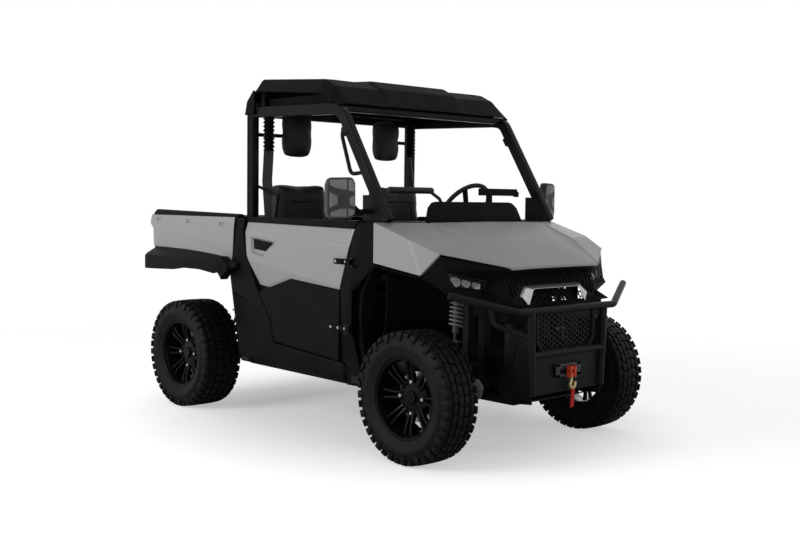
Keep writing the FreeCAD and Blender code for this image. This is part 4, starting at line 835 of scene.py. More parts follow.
# ---- Side panels ----
# Black plastic mouldings screwed to the frame: a rocker that rises behind the door, the quarter
# strip between the door and the front wheel, and the liner of the front wheel arch.
ROCKER = [(-0.463, 1.159), (-0.454, 1.176), (-0.378, 1.176), (-0.378, 1.161), (-0.396, 1.097), (-0.383, 0.964),
          (-0.262, 0.758), (-0.226, 0.708), (-0.149, 0.611), (-0.114, 0.48), (0.507, 0.436), (0.513, 0.322),
          (-0.381, 0.326), (-0.443, 0.34), (-0.545, 0.834), (-0.512, 0.96)]
ROCKER_FOLDS = (((0.517, 0.358), (-0.423, 0.377), 0.9), ((-0.5, 0.964), (-0.385, 0.946), -0.06))
ROCKER_POCKET = [(-0.522, 0.752), (-0.345, 0.694), (-0.362, 0.575), (-0.452, 0.552)]
SEAL = [(-0.466, 1.15), (-0.48, 1.097), (-0.468, 0.955), (-0.345, 0.745), (-0.31, 0.695), (-0.235, 0.6),
        (-0.198, 0.515), (-0.08, 0.515), (-0.12, 0.625), (-0.2, 0.722), (-0.235, 0.772), (-0.355, 0.975),
        (-0.368, 1.097), (-0.352, 1.15)]
QUARTER = [(0.628, 1.176), (0.735, 1.176), (0.735, 0.972), (0.565, 0.816), (0.554, 0.61), (0.63, 0.319),
           (0.516, 0.322), (0.51, 0.436), (0.488, 0.446), (0.478, 0.815), (0.586, 1.141)]
QUARTER_FOLDS = (((0.627, 1.169), (0.543, 0.82), 0.2),)
ARCH = [(1.06, 0.915), (0.8, 0.945), (0.748, 0.956), (0.728, 0.95), (0.7, 0.915), (0.64, 0.8),
        (0.633, 0.7), (0.64, 0.6), (0.664, 0.43)]


def ribbon(shape, line, low, high):
    """A bent sheet across the vehicle, from an XZ line."""
    return skinned(shape, [[(x, y, z) for x, z in line] for y in (low, high)], around=False, caps=())


def joined(shape, *others):
    """Adds other shapes to a shape."""
    mesh = bpy.data.meshes.new("joined")
    for other in others:
        other.to_mesh(mesh)
        shape.from_mesh(mesh)
    bpy.data.meshes.remove(mesh)
    return shape


rocker = stood(pressed(ROCKER, ROCKER_FOLDS, [(ROCKER_POCKET, 0.02, 0.018)]), (0, -SIDE, 0))
piece(both_sides(rocker), "rocker_panels", black_moulding, "rocker_panels", wall=0.006, facing=outwards)
quarter = stood(pressed(QUARTER, QUARTER_FOLDS), (0, -SIDE, 0))
piece(both_sides(quarter), "quarter_strips", black_moulding, "quarter_panels", wall=0.006, facing=outwards)
arch = ribbon(bmesh.new(), ARCH, -SIDE + 0.012, -0.6)
piece(both_sides(ribbon(arch, ARCH[:3], -0.6, -0.44)), "arch_liners", black_moulding, wall=0.004, edge=0.001,
      facing=lambda at: Vector((0.3, 0, -1)))
sill = joined(block(bmesh.new(), (-0.2, -0.64, 0.41), (0.56, -0.634, 0.52)),
              plate(SEAL, 0.006, (0, -0.64, 0), roll=0.001))
piece(both_sides(sill), "door_sills", black_moulding, edge=0.001)
hinge_ears = bmesh.new()
for z, front in ((0.949, 0.597), (0.989, 0.597), (0.601, 0.567), (0.641, 0.567)):
    block(pin(hinge_ears, z - 0.0045, z + 0.0045),
          (front - 0.04, -SIDE - 0.022, z - 0.0045), (front, -SIDE + 0.003, z + 0.0045))
piece(both_sides(hinge_ears), "hinge_ears", frame_black, edge=0.0008)

# ---- Hood and fenders ----
# Painted panels with sharp pressed folds. The fenders are bolted on at the sides; the hood tips
# forward off its hinges at the cowl and has a waisted raised middle.


def facets(corners, faces):
    """A sheet of flat facets between named corners."""
    shape = bmesh.new()
    at = [shape.verts.new(corner) for corner in corners]
    for face in faces:
        shape.faces.new([at[i] for i in face])
    return shape


FENDER = ((0.866, -0.451, 1.177), (0.735, -0.7, 1.177), (0.735, -0.7, 0.973), (1.075, -0.695, 0.933),
          (1.15, -0.64, 1.034), (0.994, -0.697, 1.099), (1.344, -0.35, 0.97), (1.118, -0.62, 1.0),
          (1.085, -0.455, 1.092), (0.866, -0.43, 1.164), (1.085, -0.434, 1.074), (1.33, -0.33, 0.96))
FENDER_FACES = ((0, 1, 5, 8), (8, 5, 4), (8, 4, 6), (1, 2, 3, 5), (5, 3, 4), (3, 7, 4), (0, 8, 10, 9), (8, 6,
    11, 10))
HOOD = ((0.868, 0.0, 1.18), (0.868, -0.431, 1.176), (1.075, -0.262, 1.101), (1.162, -0.192, 1.065),
        (1.342, -0.346, 0.97), (1.352, 0.0, 0.974), (1.12, 0.0, 1.088), (1.108, -0.375, 1.074),
        (0.868, -0.446, 1.173), (1.346, -0.344, 0.968), (1.348, -0.19, 0.973), (1.098, -0.446, 1.079),
        (1.351, -0.34, 0.959), (1.357, -0.188, 0.962), (1.361, 0.0, 0.963))
HOOD_FACES = ((0, 1, 2, 6), (6, 2, 3), (6, 3, 10, 5), (3, 4, 10), (2, 4, 3), (1, 7, 2), (2, 7, 4), (1, 8, 11,
    7), (7, 11, 4), (11, 9, 4), (4, 12, 13, 10), (10, 13, 14, 5))
piece(both_sides(facets(FENDER, FENDER_FACES)), "front_fenders", grey_paint, "front_fenders", fold=0.007,
    wall=0.004, edge=0.0012, facing=lambda at: Vector((0.25, at.y, 0.7)))
piece(both_sides(facets(HOOD, HOOD_FACES)), "hood", grey_paint, "hood", "hood", fold=0.009, wall=0.004,
    edge=0.0012, facing=lambda at: Vector((0.3, 0, 1)))
hood_hinges = bmesh.new()
for y in (-0.4, 0.37):
    swept(hood_hinges, [(0.861, y, 1.166), (0.861, y + 0.03, 1.166)], round_bar(0.004, 16))
    block(hood_hinges, (0.861, y, 1.162), (0.883, y + 0.03, 1.167))
piece(hood_hinges, "hood_hinges", frame_black, body="hood", edge=0.0006)

# ---- Cowl, dashboard, deflector ----
# A black moulded cowl over a dashboard sheet, with a low wind deflector standing on it.
COWL = ((0.634, -0.6), (0.7, -0.655), (0.736, -0.688), (0.854, -0.443), (0.854, 0.0), (0.634, 0.0))
DASH = [(0.64, 1.166), (0.56, 1.15), (0.53, 1.09), (0.57, 0.96), (0.725, 0.9)]
DEFLECTOR = [(-0.381, 0.0), (0.381, 0.0), (0.352, 0.075), (0.318, 0.102), (0.29, 0.107), (-0.29, 0.107),
             (-0.318, 0.102), (-0.352, 0.075)]
cowl = bmesh.new()
for z in (1.166, 1.18):
    cowl.faces.new([cowl.verts.new((x, y, z)) for x, y in COWL])
bmesh.ops.bridge_loops(cowl, edges=cowl.edges)
bmesh.ops.delete(cowl, geom=[f for f in cowl.faces if abs(f.calc_center_median().y) < 1e-6],
    context="FACES_ONLY")
piece(both_sides(cowl), "cowl_top", black_moulding, "cowl", edge=0.003)
piece(ribbon(bmesh.new(), DASH, -0.6, 0.6), "dash_sheet", black_moulding, wall=0.006, edge=0.002,
      facing=lambda at: Vector((-1, 0, 0.3)))
piece(plate(DEFLECTOR, 0.006, (0.783, 0, 1.18), (1, 0, 0.15), folds=[((-0.33, 0.03), (0.33, 0.03), 0.08)],
    roll=0.003), "deflector", black_moulding, edge=0.001)

# ---- Nose: fascia, grille, headlights ----
# One black moulding carries the lamps and a louvred grille. A silver trim frames an open hexagon
# mesh in the middle. The lamps have three round reflectors in a dark housing behind a clear lens.
FASCIA = ((1.336, -0.338, 0.957), (1.146, -0.635, 1.021), (1.167, -0.62, 0.952), (1.253, -0.4, 0.908),
          (1.231, -0.4, 0.851), (1.2, -0.593, 0.876), (1.188, -0.627, 0.851), (1.384, -0.376, 0.792),
          (1.075, -0.688, 0.922), (1.29, -0.33, 0.927), (1.35, -0.345, 0.785), (1.336, 0.0, 0.957),
          (1.29, 0.0, 0.927), (1.35, 0.0, 0.785), (1.384, 0.0, 0.776), (1.24, -0.486, 0.813),
          (1.318, -0.332, 0.961), (1.318, 0.0, 0.961), (1.318, -0.332, 0.978), (1.318, 0.0, 0.978))
FASCIA_FACES = ((0, 1, 2), (0, 2, 3), (0, 3, 9), (9, 3, 4), (9, 4, 10), (4, 5, 6), (4, 6, 15), (4, 15, 7), (4,
    7, 10), (2, 1, 8), (2, 8, 5), (5, 8, 6), (0, 9, 12, 11), (10, 7, 14, 13), (16, 0, 11, 17), (18, 16, 17, 19))
WINGS = ((1.344, -0.372, 0.788), (1.344, -0.372, 0.7), (1.228, -0.486, 0.735), (1.232, -0.486, 0.812))
SKID_EAR = [(1.04, 0.388), (1.1, 0.386), (1.13, 0.352), (1.118, 0.3), (1.07, 0.262), (1.04, 0.27)]
GRILLE = ((1.35, 0.0, 0.785), (0.15, 0.0, 0.062))
GRILLE_RISE = 0.1623
PANEL = [(-0.345, 0.0), (0.345, 0.0), (0.33, GRILLE_RISE), (-0.33, GRILLE_RISE)]
MESH_RING = [(-0.238, 0.004), (0.238, 0.004), (0.262, 0.026), (0.214, 0.09), (-0.214, 0.09), (-0.262, 0.026)]
CELL_PITCH = 0.0265
SLAT_PITCH, SLAT_WIDTH, SLATS = 0.0236, 0.0115, 28


def forwards(at):
    """The way that the nose's sheets face."""
    return Vector((1, at.y * 0.8, 0.35))


piece(both_sides(facets(FASCIA, FASCIA_FACES)), "front_fascia", black_moulding, "front_fascia", fold=0.005,
    wall=0.004, edge=0.001, facing=forwards)
piece(stood(pressed(PANEL, holes=[MESH_RING], roll=0.003), *GRILLE), "grille_panel", black_moulding, wall=0.004,
      facing=lambda at: Vector((1, 0, 0.4)))
piece(block(bmesh.new(), (1.25, -0.345, 0.765), (1.258, 0.08, 0.935), (1.338, -0.372, 0.692), (1.344, 0.0,
    0.79), (1.338, 0.0, 0.692), (1.344, 0.372, 0.79)), "grille_backing", black_moulding, edge=0.001)
piece(both_sides(plate(SKID_EAR, 0.008, (0, -0.302, 0), roll=0.002)), "skid_ears", cast_pale, edge=0.001)
piece(both_sides(block(bmesh.new(), (0.985, -0.254, 0.395), (1.23, -0.25, 0.56))), "inner_walls",
    black_moulding, edge=0.001)
piece(both_sides(facets(WINGS, ((0, 1, 2, 3),))), "grille_wings", black_moulding, wall=0.003, facing=forwards)


def hexagons(ring, count, rows, bar, depth, corner):
    """A mesh of flat-topped hexagon cells as (across, depth, up), from its corner, cut to a ring."""
    size = CELL_PITCH / math.sqrt(3)
    sixths = [i * math.tau / 6 for i in range(6)]
    cell = skinned(bmesh.new(), [[(radius * math.sin(turn), sunk,
        radius * math.cos(turn)) for turn in sixths] for radius, sunk in ((size, 0), (size - bar, 0),
        (size - bar, depth), (size, depth))], caps=())
    line = copied(cell, black_moulding, count, step=(CELL_PITCH, 0, 0))
    rise = CELL_PITCH * math.sqrt(0.75)
    late = line.copy()
    bmesh.ops.translate(late, vec=(CELL_PITCH / 2, 0, rise), verts=late.verts)
    cells = copied(joined(line, late), black_moulding, rows // 2, step=(0, 0, rise * 2))
    bmesh.ops.rotate(cells, matrix=Matrix.Rotation(math.radians(90), 3, "Y"), verts=cells.verts)
    bmesh.ops.translate(cells, vec=corner, verts=cells.verts)
    ring = wound(ring)
    for (x0, z0), (x1, z1) in zip(ring, ring[1:] + ring[:1]):
        bmesh.ops.bisect_plane(cells, geom=cells.verts[:] + cells.edges[:] + cells.faces[:], plane_co=(x0, 0,
            z0), plane_no=(z1 - z0, 0, x0 - x1), clear_outer=True)
    return cells


cells = hexagons(inset(wound(MESH_RING), -0.003), 5, 26, 0.003, 0.0035, (-0.287, 0.004, 0.112))
piece(stood(cells, *GRILLE), "grille_mesh", black_moulding)
slat = block(bmesh.new(), (-SLAT_WIDTH / 2, -0.008, 0.103), (SLAT_WIDTH / 2, 0.0025, GRILLE_RISE - 0.008))
slats = copied(slat, black_moulding, SLATS, step=(SLAT_PITCH, 0, 0))
bmesh.ops.translate(slats, vec=((1 - SLATS) / 2 * SLAT_PITCH, 0, 0), verts=slats.verts)
for hand in (-1, 1):
    for i, low in enumerate((0.078, 0.052, 0.034)):
        middle = hand * (0.2655 + SLAT_PITCH * i)
        block(slats, (middle - SLAT_WIDTH / 2, -0.008, low), (middle + SLAT_WIDTH / 2, 0.0025, 0.103))
piece(stood(slats, *GRILLE), "grille_louvres", black_moulding, edge=0.0008)

silver = clouded("satin_silver", "silver_trim", (0.46, 0.47, 0.48), (0.57, 0.58, 0.59), (0.3, 0.38), ("noise",
    30.0, 3.0), ("noise", 900.0), 0.00003, Metallic=0.6)
# The trim's flanks flare back to the grille; each station is the flank's back edge and its front edge.
HALF_TRIM = (((1.3333, -0.264, 0.825), (1.36, -0.227, 0.779)), ((1.317, -0.223, 0.8655), (1.351, -0.188,
    0.852)), ((1.314, -0.208, 0.8715), (1.349, -0.174, 0.86)))
OTHER_SIDE = Vector((1, -1, 1))
rings = []
for back, front in [*HALF_TRIM, *[[Vector(at) * OTHER_SIDE for at in ends] for ends in HALF_TRIM[::-1]]]:
    inward = (Vector((front[0], 0, 0.8)) - Vector(front)).normalized() * 0.006
    rings.append((Vector(back), Vector(front), Vector(front) + inward, Vector(back) + inward + Vector((0.012, 0,
        -0.004))))
piece(skinned(bmesh.new(), rings), "grille_trim", silver, "grille_trim", edge=0.0015)

lens = clouded("clear_lens", "lamp_lens", (0.06, 0.064, 0.066), (0.07, 0.074, 0.076), (0.05, 0.09), ("noise",
    12.0), Alpha=0.12, Coat_Weight=0.15)
# The reflectors' chrome is painted dark, as painted shade in their reflection, and its random pale spots are
# painted glints.
chrome = clouded("lamp_chrome", "silver_trim", (0.06, 0.062, 0.066), (0.24, 0.245, 0.25), (0.14, 0.24),
                 ("noise", 60.0), Metallic=1.0)
LAMP = ((1.1675, -0.619, 0.951), (1.2525, -0.401, 0.907), (1.2312, -0.401, 0.852), (1.2005, -0.592, 0.877))
LAMP_WAY = Vector((1, -0.38, 0.42)).normalized()
# A bowl: its share along the lamp, its share down it, its radius; and its stations: (out, size)
BOWLS = ((0.22, 0.5, 0.026), (0.5, 0.5, 0.022), (0.77, 0.52, 0.022))
BOWL = ((0.0, 0.25), (0.002, 0.45), (0.008, 0.78), (0.016, 0.98), (0.018, 1.02), (0.016, 1.06), (0.004, 1.06))
piece(both_sides(facets(LAMP, ((0, 1, 2), (0, 2, 3)))), "lamp_lenses", lens, "headlights", wall=0.002,
    facing=forwards)
sunk, shrunk = [[Vector(corner) + Vector(shift) for corner in LAMP] for shift in ((-0.034, 0.004, -0.012),
    (-0.003, 0, -0.001))]
case = skinned(bmesh.new(), (shrunk, sunk), caps=(-1,))
bowls, bulbs = bmesh.new(), bmesh.new()
for along, down, radius in BOWLS:
    centre = sunk[0].lerp(sunk[1], along).lerp(sunk[3].lerp(sunk[2], along), down) + LAMP_WAY * 0.004
    swept(bowls, [centre + LAMP_WAY * out for out, size in BOWL], round_bar(radius, 32), sizes=[size for out,
        size in BOWL])
    bmesh.ops.create_uvsphere(bulbs, u_segments=20, v_segments=12, radius=radius * 0.36,
                              matrix=Matrix.Translation(centre + LAMP_WAY * 0.006))
piece(both_sides(case), "lamp_cases", black_moulding, facing=forwards, wall=0.001)
piece(both_sides(bowls), "lamp_bowls", chrome)
piece(both_sides(bulbs), "lamp_bulbs", lens)

# ---- Bumper ----
# A welded tube bumper with a perforated plate between its posts, textured dark grey. Its side
# plates bolt it to the frame and its lower plate carries the winch and the rope's fairlead.
bumper_grey = powder_coat("bumper_grey", "bumper_paint", (0.006, 0.0072, 0.0072), (0.013, 0.015, 0.015), 0.42,
    700.0)
TUBE, FRONT, HOOP = round_bar(0.018, 20), 1.429, 1.41
SIDE_PLATE = [(1.415, 0.7), (1.3, 0.64), (1.2, 0.343), (1.3, 0.29), (1.43, 0.3)]
SIDE_HOLE = [(1.36, 0.6), (1.33, 0.58), (1.3, 0.48), (1.36, 0.5)]
LOWER_PLATE = [(-0.27, 0.34), (0.27, 0.34), (0.27, 0.53), (-0.27, 0.53)]
ROPE_WINDOW = [(-0.075, 0.425), (0.075, 0.425), (0.075, 0.475), (-0.075, 0.475)]
PERFORATED = [(-0.19, 0.55), (0.19, 0.55), (0.226, 0.604), (0.226, 0.752), (-0.226, 0.752), (-0.226, 0.604)]
tubes = swept(bmesh.new(), bent([(1.262, -0.69, 0.844), (FRONT, -0.376, 0.759), (FRONT, 0.376, 0.759),
                                 (1.262, 0.69, 0.844)], 0.07, 8), TUBE)
swept(tubes, bent([(HOOP, y, z) for y, z in ((-0.225, 0.752), (-0.225, 0.605), (-0.185, 0.548), (0.185, 0.548),
                                             (0.225, 0.605), (0.225, 0.752))], 0.03), round_bar(0.012, 16))
swept(tubes, [(FRONT, -0.285, 0.541), (FRONT, 0.285, 0.541)], TUBE)
posts = swept(bmesh.new(), [(FRONT, -0.29, 0.757), (FRONT, -0.272, 0.345)], round_bar(0.02, 20))
swept(posts, bent([(1.424, -0.29, 0.632), (1.3, -0.42, 0.694), (1.29, -0.43, 0.8)], 0.05, 8), round_bar(0.015,
    18))
plates = both_sides(plate(SIDE_PLATE, 0.005, (0, -0.277, 0), holes=[SIDE_HOLE], roll=0.001))
lower = plate(LOWER_PLATE, 0.008, (1.421, 0, 0), (1, 0, 0), holes=[ROPE_WINDOW], roll=0.001)
screen = stood(hexagons(PERFORATED, 9, 20, 0.0042, 0.003, (-0.24, 0, 0.77)), (1.406, 0, 0), (1, 0, 0))
heads = bolts([(1.421, y, z) for y in (-0.245, 0.245) for z in (0.365, 0.505)], (1, 0, 0), 0.007)
piece(tubes, "bumper_tubes", bumper_grey, "bumper")
piece(both_sides(posts), "bumper_side_tubes", bumper_grey)
piece(plates, "bumper_side_plates", bumper_grey, edge=0.0006)
piece(lower, "bumper_lower_plate", bumper_grey, edge=0.0006)
piece(screen, "bumper_mesh", bumper_grey)
piece(heads, "bumper_bolts", frame_black, slot="spring_steel")

# ---- Winch, rope, hook ----
# An electric winch behind the lower plate. Its rope leaves through a fairlead to a painted hook
# with a red webbing pull.
DRUM_X, DRUM_Z, ROPE_ON_DRUM, ROPE_TURNS = 1.35, 0.45, 0.031, 16
ROPE = round_bar(0.0045, 8)
winch = bmesh.new()
for ends in ((-0.19, -0.185, -0.09, -0.085), (0.18, 0.175, 0.09, 0.085)):
    swept(winch, [(DRUM_X, y, DRUM_Z) for y in ends], round_bar(0.048, 40), sizes=(0.92, 1, 1, 0.92))
block(winch, (1.295, -0.21, 0.392), (1.4117, 0.21, 0.402))
for y in (-0.1, 0.086):
    block(winch, (1.305, y, 0.4), (1.395, y + 0.014, 0.5))
for z in (0.417, 0.469):
    block(winch, (1.4223, -0.1, z), (1.4363, 0.1, z + 0.014))
for y in (-0.1, 0.066):
    block(winch, (1.4223, y, 0.417), (1.4363, y + 0.034, 0.483))
piece(winch, "winch_body", cast_dark, "winch", edge=0.0015)
coil = []
for i in range(ROPE_TURNS * 24 + 1):
    turn = i * math.tau / 24
    coil.append((DRUM_X + ROPE_ON_DRUM * math.sin(turn), -0.082 + 0.164 * i / (ROPE_TURNS * 24),
                 DRUM_Z + ROPE_ON_DRUM * math.cos(turn)))
rope = swept(swept(bmesh.new(), coil, ROPE), [(1.352, 0.0, 0.4825), (1.4, 0.001, 0.466), (1.44, 0.002, 0.453)],
    ROPE)
rope_steel = clouded("rope_steel", "spring_steel", (0.06, 0.06, 0.06), (0.2, 0.2, 0.2), 0.45, ("noise", 300.0,
    3.0), depth=0.0006, Metallic=0.8)
piece(rope, "winch_rope", rope_steel)

hook_paint = clouded("hook_paint", "red_web", (0.72, 0.07, 0.025), (0.8, 0.13, 0.03), (0.35, 0.5), ("noise",
    70.0, 4.0), depth=0.0002, spread=(0.55, 0.7), Coat_Weight=0.2)
webbing = clouded("red_webbing", "red_web", (0.58, 0.012, 0.01), (0.8, 0.025, 0.018), 0.8, ("bands", 180.0,
    0.6), depth=0.0006)
brass = clouded("hook_brass", "red_web", (0.36, 0.26, 0.12), (0.6, 0.48, 0.26), (0.3, 0.45), ("noise", 60.0,
    4.0), Metallic=0.7)
hook = bmesh.new()
for y in (-0.015, 0.019):
    block(hook, (1.4366, y, 0.412), (1.466, y + 0.008, 0.472))
for z in (0.458, 0.428):
    swept(hook, [(1.454, -0.017, z), (1.454, 0.029, z)], round_bar(0.006, 16))
piece(hook, "tow_hook", hook_paint, "tow_hook", edge=0.001)
throat = [(1.45, y, z) for y, z in ((0.006, 0.432), (0.006, 0.396), (-0.004, 0.372), (0.012, 0.354), (0.034,
    0.362), (0.037, 0.388))]
piece(swept(bmesh.new(), bent(throat, 0.014), round_bar(0.0085, 16)), "hook_throat", brass)
strap = bmesh.new()
for layer in (((1.4495, 0.018, 0.366), (1.45, 0.019, 0.33), (1.4482, 0.018, 0.295), (1.447, 0.015, 0.258)),
              ((1.453, 0.018, 0.362), (1.4535, 0.019, 0.33), (1.4517, 0.018, 0.295), (1.4505, 0.015, 0.262))):
    swept(strap, layer, flat_bar(0.0035, 0.024), side=(1, 0, 0))
piece(strap, "hook_strap", webbing, edge=0.0008)

# ---- Roll cage ----
# Bent steel tube, black: a front hoop that runs back over the doors to upright rear pillars, with
# cross headers, stubs for the head rests and plates welded into the corners. On the right are a
# grab loop and a bar beside the seat.
cage_black = powder_coat("cage_black", "cage_paint", (0.0032, 0.0037, 0.0036), (0.0062, 0.0068, 0.0068), 0.34,
    900.0)
PILLAR = -0.628
RAIL = PILLAR - 0.006
GUSSET = [(0.585, 1.174), (0.77, 1.174), (0.676, 1.315), (0.585, 1.315)]
GRAB_LOOP = ((0.43, 0.02, 1.655), (0.37, 0.024, 1.66), (0.368, 0.026, 1.62), (0.44, 0.026, 1.425), (0.545,
    0.022, 1.432))


def square_bar(deep, wide, radius=0.009):
    """A rounded rectangle section."""
    steps = 3
    section = []
    for quarter, (a, b) in enumerate(((1, 1), (-1, 1), (-1, -1), (1, -1))):
        for i in range(steps + 1):
            turn = (quarter + i / steps) * math.pi / 2
            section.append((a * (deep / 2 - radius) + radius * math.cos(turn),
                b * (wide / 2 - radius) + radius * math.sin(turn)))
    return section


cage = swept(bmesh.new(), [(-0.416, PILLAR, 0.38), (-0.416, PILLAR, 1.812)], square_bar(0.06, 0.05), side=(1, 0,
    0))
for x in (-0.43, -0.404):
    swept(cage, [(x, PILLAR - 0.0255, z) for z in (1.19, 1.77)], square_bar(0.012, 0.006, 0.002), side=(1, 0,
        0))
swept(cage, bent([(0.77, RAIL, 1.18), (0.405, RAIL, 1.758), (0.33, PILLAR - 0.004, 1.772), (-0.44, PILLAR,
    1.79)], 0.1, 8), square_bar(0.044, 0.062), side=(0, 1, 0))
swept(cage, bent([(0.72, PILLAR, 1.166), (0.587, PILLAR, 0.83), (0.587, PILLAR, 0.38)], 0.08), square_bar(0.044,
    0.05), side=(0, 1, 0))
joined(cage, plate(GUSSET, 0.006, (0, -0.644, 0), roll=0.001))
swept(cage, [(0.468, RAIL, 1.64), (0.444, RAIL, 1.678)], square_bar(0.05, 0.07, 0.012), side=(0, 1, 0))
swept(cage, [(-0.414, PILLAR, 1.663), (-0.4, -0.43, 1.663)], round_bar(0.011, 16))
both_sides(cage)
swept(cage, bent([(x, PILLAR + y, z) for x, y, z in GRAB_LOOP], 0.04), round_bar(0.0105, 14))
swept(cage, [(-0.47, PILLAR + 0.012, 1.385), (-0.219, -0.588, 1.309), (-0.247, -0.588, 1.186)],
    round_bar(0.009))
for x, z, deep, wide in ((0.38, 1.772, 0.04, 0.034), (-0.42, 1.79, 0.036, 0.05)):
    swept(cage, [(x, PILLAR, z), (x, -PILLAR, z)], square_bar(deep, wide), side=(1, 0, 0))
piece(cage, "roll_cage", cage_black, "roll_cage", edge=0.0008)

# ---- Roof ----
# One black moulding with a raised middle, an angular brow over the windscreen and skirts that
# cover the cage rails. It is bolted down at the four corners of the cage.
roof_black = moulding("roof_black", "roof_plastic", (0.0032, 0.0034, 0.0034), (0.0056, 0.0058, 0.0058), 0.58,
    900.0, 0.0003)
ROOF = (
    # x, skirt's edge, side of the top, middle of the top
    (-0.424, 1.838, 1.852, 1.853), (-0.361, 1.885, 1.915, 1.916), (-0.334, 1.906, 1.976, 1.98),
    (0.236, 1.86, 1.937, 1.952), (0.326, 1.83, 1.894, 1.904), (0.412, 1.784, 1.797, 1.799),
)
EAR = [(-0.445, 1.774), (-0.358, 1.774), (-0.345, 1.89), (-0.361, 1.912), (-0.424, 1.85)]
lines = []
for x, skirt, top, middle in ROOF:
    half = [(-0.668, skirt), (-0.62, top), (-0.545, top + 0.002), (-0.31, top), (-0.288, middle), (0, middle)]
    lines.append([(x, y, z) for y, z in half + [(-y, z) for y, z in half[-2::-1]]])
piece(skinned(bmesh.new(), lines, around=False, caps=()), "roof_skin", roof_black, "roof", fold=0.01,
    wall=0.008, edge=0.002, facing=lambda at: Vector((0.1 * at.x, at.y, 1)))
liner = block(bmesh.new(), (-0.44, -0.606, 1.782), (0.24, -0.6, 1.86), (-0.44, 0.6, 1.782), (0.24, 0.606, 1.86),
              (-0.44, -0.6, 1.782), (-0.434, 0.6, 1.842), (0.3, -0.6, 1.785), (0.306, 0.6, 1.862))
piece(liner, "roof_liner", roof_black, edge=0.001)
ears = plate(EAR, 0.012, (0, -0.668, 0))
for x, low, high in ((-0.3, 1.809, 1.9), (0.3, 1.779, 1.85)):
    block(ears, (x - 0.015, -0.64, low), (x + 0.015, -0.612, high))
piece(both_sides(ears), "roof_ears", roof_black, edge=0.002)

# ---- Mirrors ----
# Grey housings on short arms from the front pillars, with pale panels between an X of ribs on the
# front and the glass behind.
mirror_grey = moulding("mirror_grey", "mirror_shell", (0.06, 0.066, 0.064), (0.085, 0.092, 0.09), 0.42, 1700.0,
    0.00012)
mirror_pale = moulding("mirror_pale", "mirror_shell", (0.21, 0.224, 0.218), (0.27, 0.286, 0.28), 0.36, 1700.0,
    0.0001)
mirror_glass = clouded("mirror_glass", "mirror_shell", (0.55, 0.57, 0.58), (0.62, 0.64, 0.65), 0.03, ("noise",
    4.0), Metallic=1.0)
MIRROR = [(-0.08, 1.225), (-0.071, 1.202), (-0.052, 1.193), (0.052, 1.195), (0.068, 1.206), (0.076, 1.232),
          (0.074, 1.372), (0.064, 1.394), (0.046, 1.403), (-0.052, 1.4), (-0.07, 1.39), (-0.08, 1.362)]
# Raised panels between an X of ribs.
PANELS = (
    [(-0.064, 1.388), (0.026, 1.392), (0.026, 1.338), (-0.03, 1.346), (-0.064, 1.362)],
    [(-0.066, 1.326), (-0.024, 1.309), (-0.024, 1.266), (-0.066, 1.249)],
    [(0.042, 1.299), (0.07, 1.316), (0.07, 1.252), (0.042, 1.268)],
    [(-0.06, 1.226), (-0.012, 1.243), (0.026, 1.246), (0.026, 1.203), (-0.06, 1.204)],
    [(0.034, 1.39), (0.056, 1.388), (0.068, 1.366), (0.069, 1.33), (0.034, 1.336)],
    [(0.034, 1.246), (0.069, 1.24), (0.066, 1.216), (0.034, 1.204)],
)
# Where a mirror stands, and the way it faces.
STAND = ((0.628, -0.818, 0), (0.951, -0.309, 0))
panels = joined(bmesh.new(), *(backed(pressed(ring, step=0.02, roll=0.003), 0.006) for ring in PANELS))
bmesh.ops.translate(panels, vec=(0, -0.004, 0), verts=panels.verts)
piece(both_sides(stood(panels, *STAND)), "mirror_panels", mirror_pale, edge=0.001)
piece(both_sides(plate(MIRROR, 0.04, *STAND, step=0.02, roll=0.006)), "mirror_shells", mirror_grey, "mirrors",
    edge=0.002)
arms = swept(bmesh.new(), bent([(0.64, PILLAR - 0.018, 1.232), (0.618, -0.7, 1.228), (0.618, -0.73, 1.25),
                                (0.612, -0.765, 1.29)], 0.03), square_bar(0.02, 0.026, 0.006), side=(1, 0, 0))
piece(both_sides(arms), "mirror_arms", black_moulding)
face = facets([(a, 0.0405, b) for a, b in inset(wound(MIRROR), 0.012)], (range(len(MIRROR)),))
piece(both_sides(stood(face, *STAND)), "mirror_glasses", mirror_glass, wall=0.001, facing=lambda at: Vector((-1,
    0, 0)))

# ---- Bed ----
# A steel tipping tub with a black top rail, painted plastic sides with three stake pockets each,
# black flares over the rear wheels and a drop-down tailgate between two red lamps.
BED_REAR, BED_FRONT, BED_HALF, BED_TOP = -1.432, -0.466, 0.69, 1.183
BED_FLOOR, BED_SHEET = 0.879, 0.026
bed_black = powder_coat("bed_black", "black_plastic", (0.013, 0.014, 0.014), (0.024, 0.025, 0.025), 0.55, 600.0)
tub = block(bmesh.new(), (BED_REAR, -BED_HALF, 0.85), (BED_FRONT, BED_HALF, BED_FLOOR))
for low, high in ((-BED_HALF, BED_SHEET - BED_HALF), (BED_HALF - BED_SHEET, BED_HALF)):
    block(tub, (BED_REAR, low, BED_FLOOR), (BED_FRONT, high, BED_TOP))
block(tub, (BED_FRONT - BED_SHEET, BED_SHEET - BED_HALF, BED_FLOOR), (BED_FRONT, BED_HALF - BED_SHEET, BED_TOP))
rib = block(bmesh.new(), (BED_REAR + 0.05, -0.62, 0.876), (BED_FRONT - 0.06, -0.57, 0.885))
side_ribs = bmesh.new()
for x in (-1.3, -1.06, -0.82, -0.6):
    block(side_ribs, (x - 0.035, 0.02 - BED_HALF, 0.9), (x + 0.035, 0.032 - BED_HALF, 1.165))
block(side_ribs, (-1.235, -0.265, 0.8205), (-0.45, -0.215, 0.851), (-1.275, -0.276, 0.785), (-1.225, -0.2655,
    0.851))
for y in (-0.6, -0.54):
    block(side_ribs, (-1.444, y, 0.868), (BED_REAR, y + 0.025, 0.878))
    swept(side_ribs, [(-1.444, y, 0.876), (-1.444, y + 0.0245, 0.876)], round_bar(0.008, 20))
